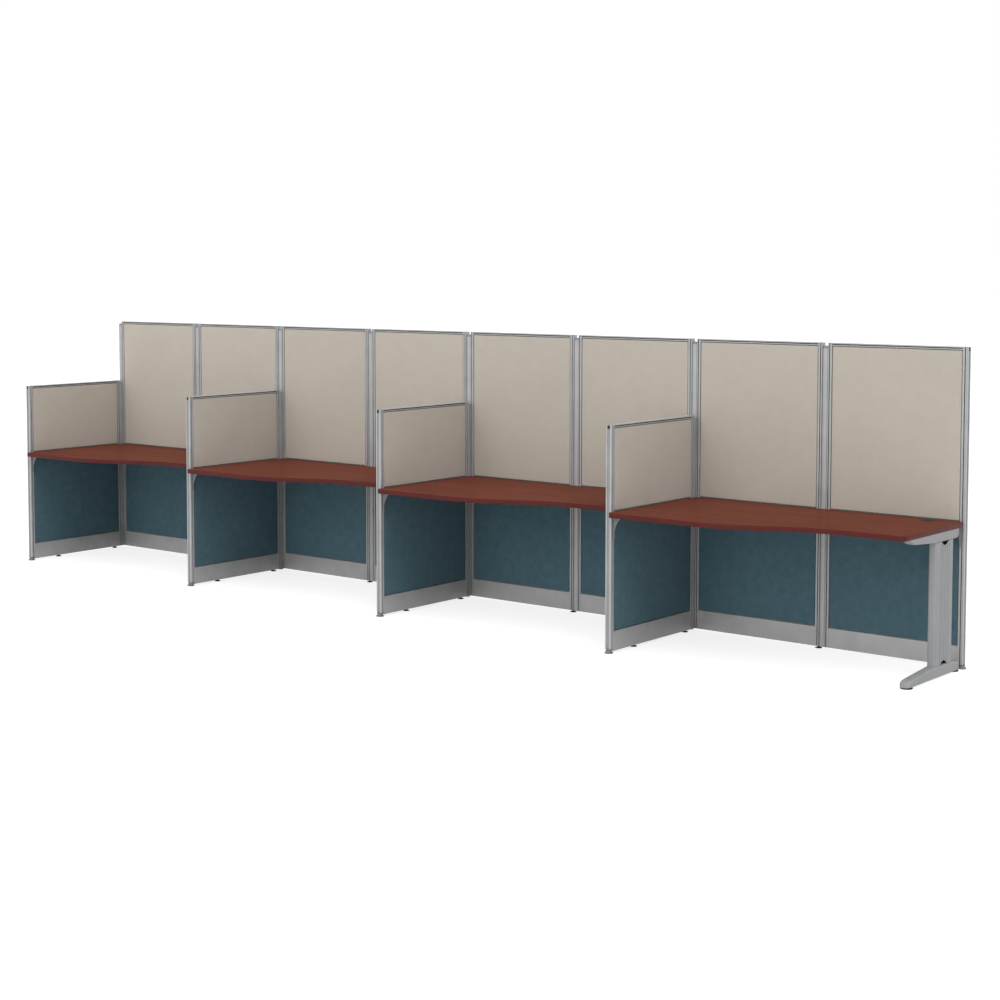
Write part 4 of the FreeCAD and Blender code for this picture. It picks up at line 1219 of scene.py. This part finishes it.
def spunFoot(kind, stemTop):
    # Out along the base, up its profile and up the stem from the profile's top.
    profile = feet[kind]
    stem = threadSection(profile[-1][1], stemTop)
    return lathe([(0.0, 0.0)] + profile + stem + [(0.0, stemTop)], 40)


def nutShell():
    nut = feet["nut"]
    angle = np.radians(np.arange(0, 360, 60))
    corners = nut["radius"] * np.stack([np.cos(angle), np.sin(angle)], axis=1)
    return bar(easedOutline(corners, 0.0006, 3), nut["low"], nut["top"], "z")


levelFoot = [spunFoot("level", feet["stemTop"]), nutShell()]
shoeFoot = [spunFoot("shoe", feet["stemTop"])]
footKinds = {
    "wall_foot_": levelFoot,
    "wall_end_foot": shoeFoot,
    "side_front_foot_": shoeFoot,
    "side_mid_foot_": levelFoot,
    "side_rear_foot_": levelFoot,
    "leg_glide_": [spunFoot("glide", feet["glideStemTop"])],
}
for body in sorted(frame["bodies"]):
    shells = [value for start, value in footKinds.items() if body.startswith(start)]
    if not shells:
        continue
    low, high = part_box(body)
    middle = (low + high) / 2
    placed = [turned(shell, 0, x=middle.x, y=middle.y) for shell in shells[0]]
    makePiece(f"{body}_turned", placed, nodeSlots[body], [body], body)
print("feet made")


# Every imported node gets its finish, shown or not.

for name, node in frame["nodes"].items():
    material = finishes[slotFinishes[nodeSlots[name]]]
    for place in node.material_slots:
        place.material = material
    if not node.material_slots:
        node.data.materials.append(material)


# Floor, daylight and camera.

studio = {
    "sky": 0.85,
    "suns": {
        "frontSun": {"strength": 1.02, "angle": 50.0, "turn": (65.0, 0.0, 0.0)},
        "sideSun": {"strength": 1.6, "angle": 50.0, "turn": (28.0, 0.0, 68.0)},
    },
    "floorColour": 0.82,
    "floorGlow": 1.3,
    "floorGlowShare": 0.6,
}


def seenDirectly(nodes):
    # 1 for what the camera sees, also in a reflection or through glass.
    flags = [
        nodes.add("ShaderNodeLightPath", output=name)
        for name in ("Is Camera Ray", "Is Glossy Ray", "Is Transmission Ray")
    ]
    return nodes.held(flags[0] + flags[1] + flags[2], 0.0, 1.0)


def madeFloor():
    finish = Finish("floorWhite", Roughness=1.0, Specular_IOR_Level=0.0)
    level = studio["floorColour"]
    cloud = finish.noise(3.0, 2, 0.5)
    colour = finish.blendColours(cloud, (level, level, level, 1), (level * 1.02,) * 3 + (1,))
    finish.paint(colour)
    glow = finish.add(
        "ShaderNodeEmission", None, {"Color": (1, 1, 1, 1), "Strength": studio["floorGlow"]}
    )
    shader = Wire(finish, finish.shader.outputs[0])
    share = seenDirectly(finish) * studio["floorGlowShare"]
    mixed = finish.add("ShaderNodeMixShader", None, {0: share, 1: shader, 2: glow})
    output = finish.tree.nodes["Material Output"]
    finish.feed(output.inputs["Surface"], mixed)
    side, drop = 60.0, -0.0004
    corners = [(-side, -side, drop), (side, -side, drop), (side, side, drop), (-side, side, drop)]
    mesh = bpy.data.meshes.new("floor")
    mesh.from_pydata(corners, [], [[0, 1, 2, 3]])
    mesh.materials.append(finish.material)
    floor = bpy.data.objects.new("floor", mesh)
    bpy.context.scene.collection.objects.link(floor)
    floor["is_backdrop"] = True


def madeSky():
    world = bpy.data.worlds.new("daylight")
    bpy.context.scene.world = world
    sky = Nodes(world)
    white = (1, 1, 1, 1)
    ambient = sky.tree.nodes["Background"]
    sky.feed(ambient.inputs["Color"], white)
    sky.feed(ambient.inputs["Strength"], studio["sky"])
    ambient = Wire(sky, ambient.outputs[0])
    plain = sky.add("ShaderNodeBackground", None, {"Color": white, "Strength": 1.0})
    mixed = sky.add("ShaderNodeMixShader", None, {0: seenDirectly(sky), 1: ambient, 2: plain})
    sky.feed(sky.tree.nodes["World Output"].inputs["Surface"], mixed)
    for name, look in studio["suns"].items():
        lamp = bpy.data.lights.new(name, "SUN")
        lamp.energy = look["strength"]
        lamp.angle = math.radians(look["angle"])
        sun = bpy.data.objects.new(name, lamp)
        sun.rotation_euler = Euler([math.radians(v) for v in look["turn"]])
        bpy.context.scene.collection.objects.link(sun)


view = {
    "spot": (7.089, -8.18235, 2.0124),
    "yaw": 0.68498,
    "pitch": 0.071493,
    "focal": 1863.8,
    "centre": (476.88, 395.98),
    "frame": 1000,
}


def madeCamera():
    sensor = 36.0
    lens = bpy.data.cameras.new("view")
    lens.sensor_fit = "HORIZONTAL"
    lens.sensor_width = sensor
    lens.lens = view["focal"] * sensor / view["frame"]
    lens.shift_x = (view["frame"] / 2 - view["centre"][0]) / view["frame"]
    lens.shift_y = (view["centre"][1] - view["frame"] / 2) / view["frame"]
    lens.clip_end = 200
    camera = bpy.data.objects.new("view", lens)
    camera.location = view["spot"]
    camera.rotation_euler = Euler((math.pi / 2 - view["pitch"], 0, view["yaw"]))
    bpy.context.scene.collection.objects.link(camera)
    bpy.context.scene.camera = camera


madeFloor()
madeSky()
madeCamera()
bpy.context.scene.view_settings.view_transform = "Standard"
print("stage made")

boxes = {"cad": cadBox, "visual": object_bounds()}
{k: [list(corner) for corner in v] for k, v in boxes.items()}
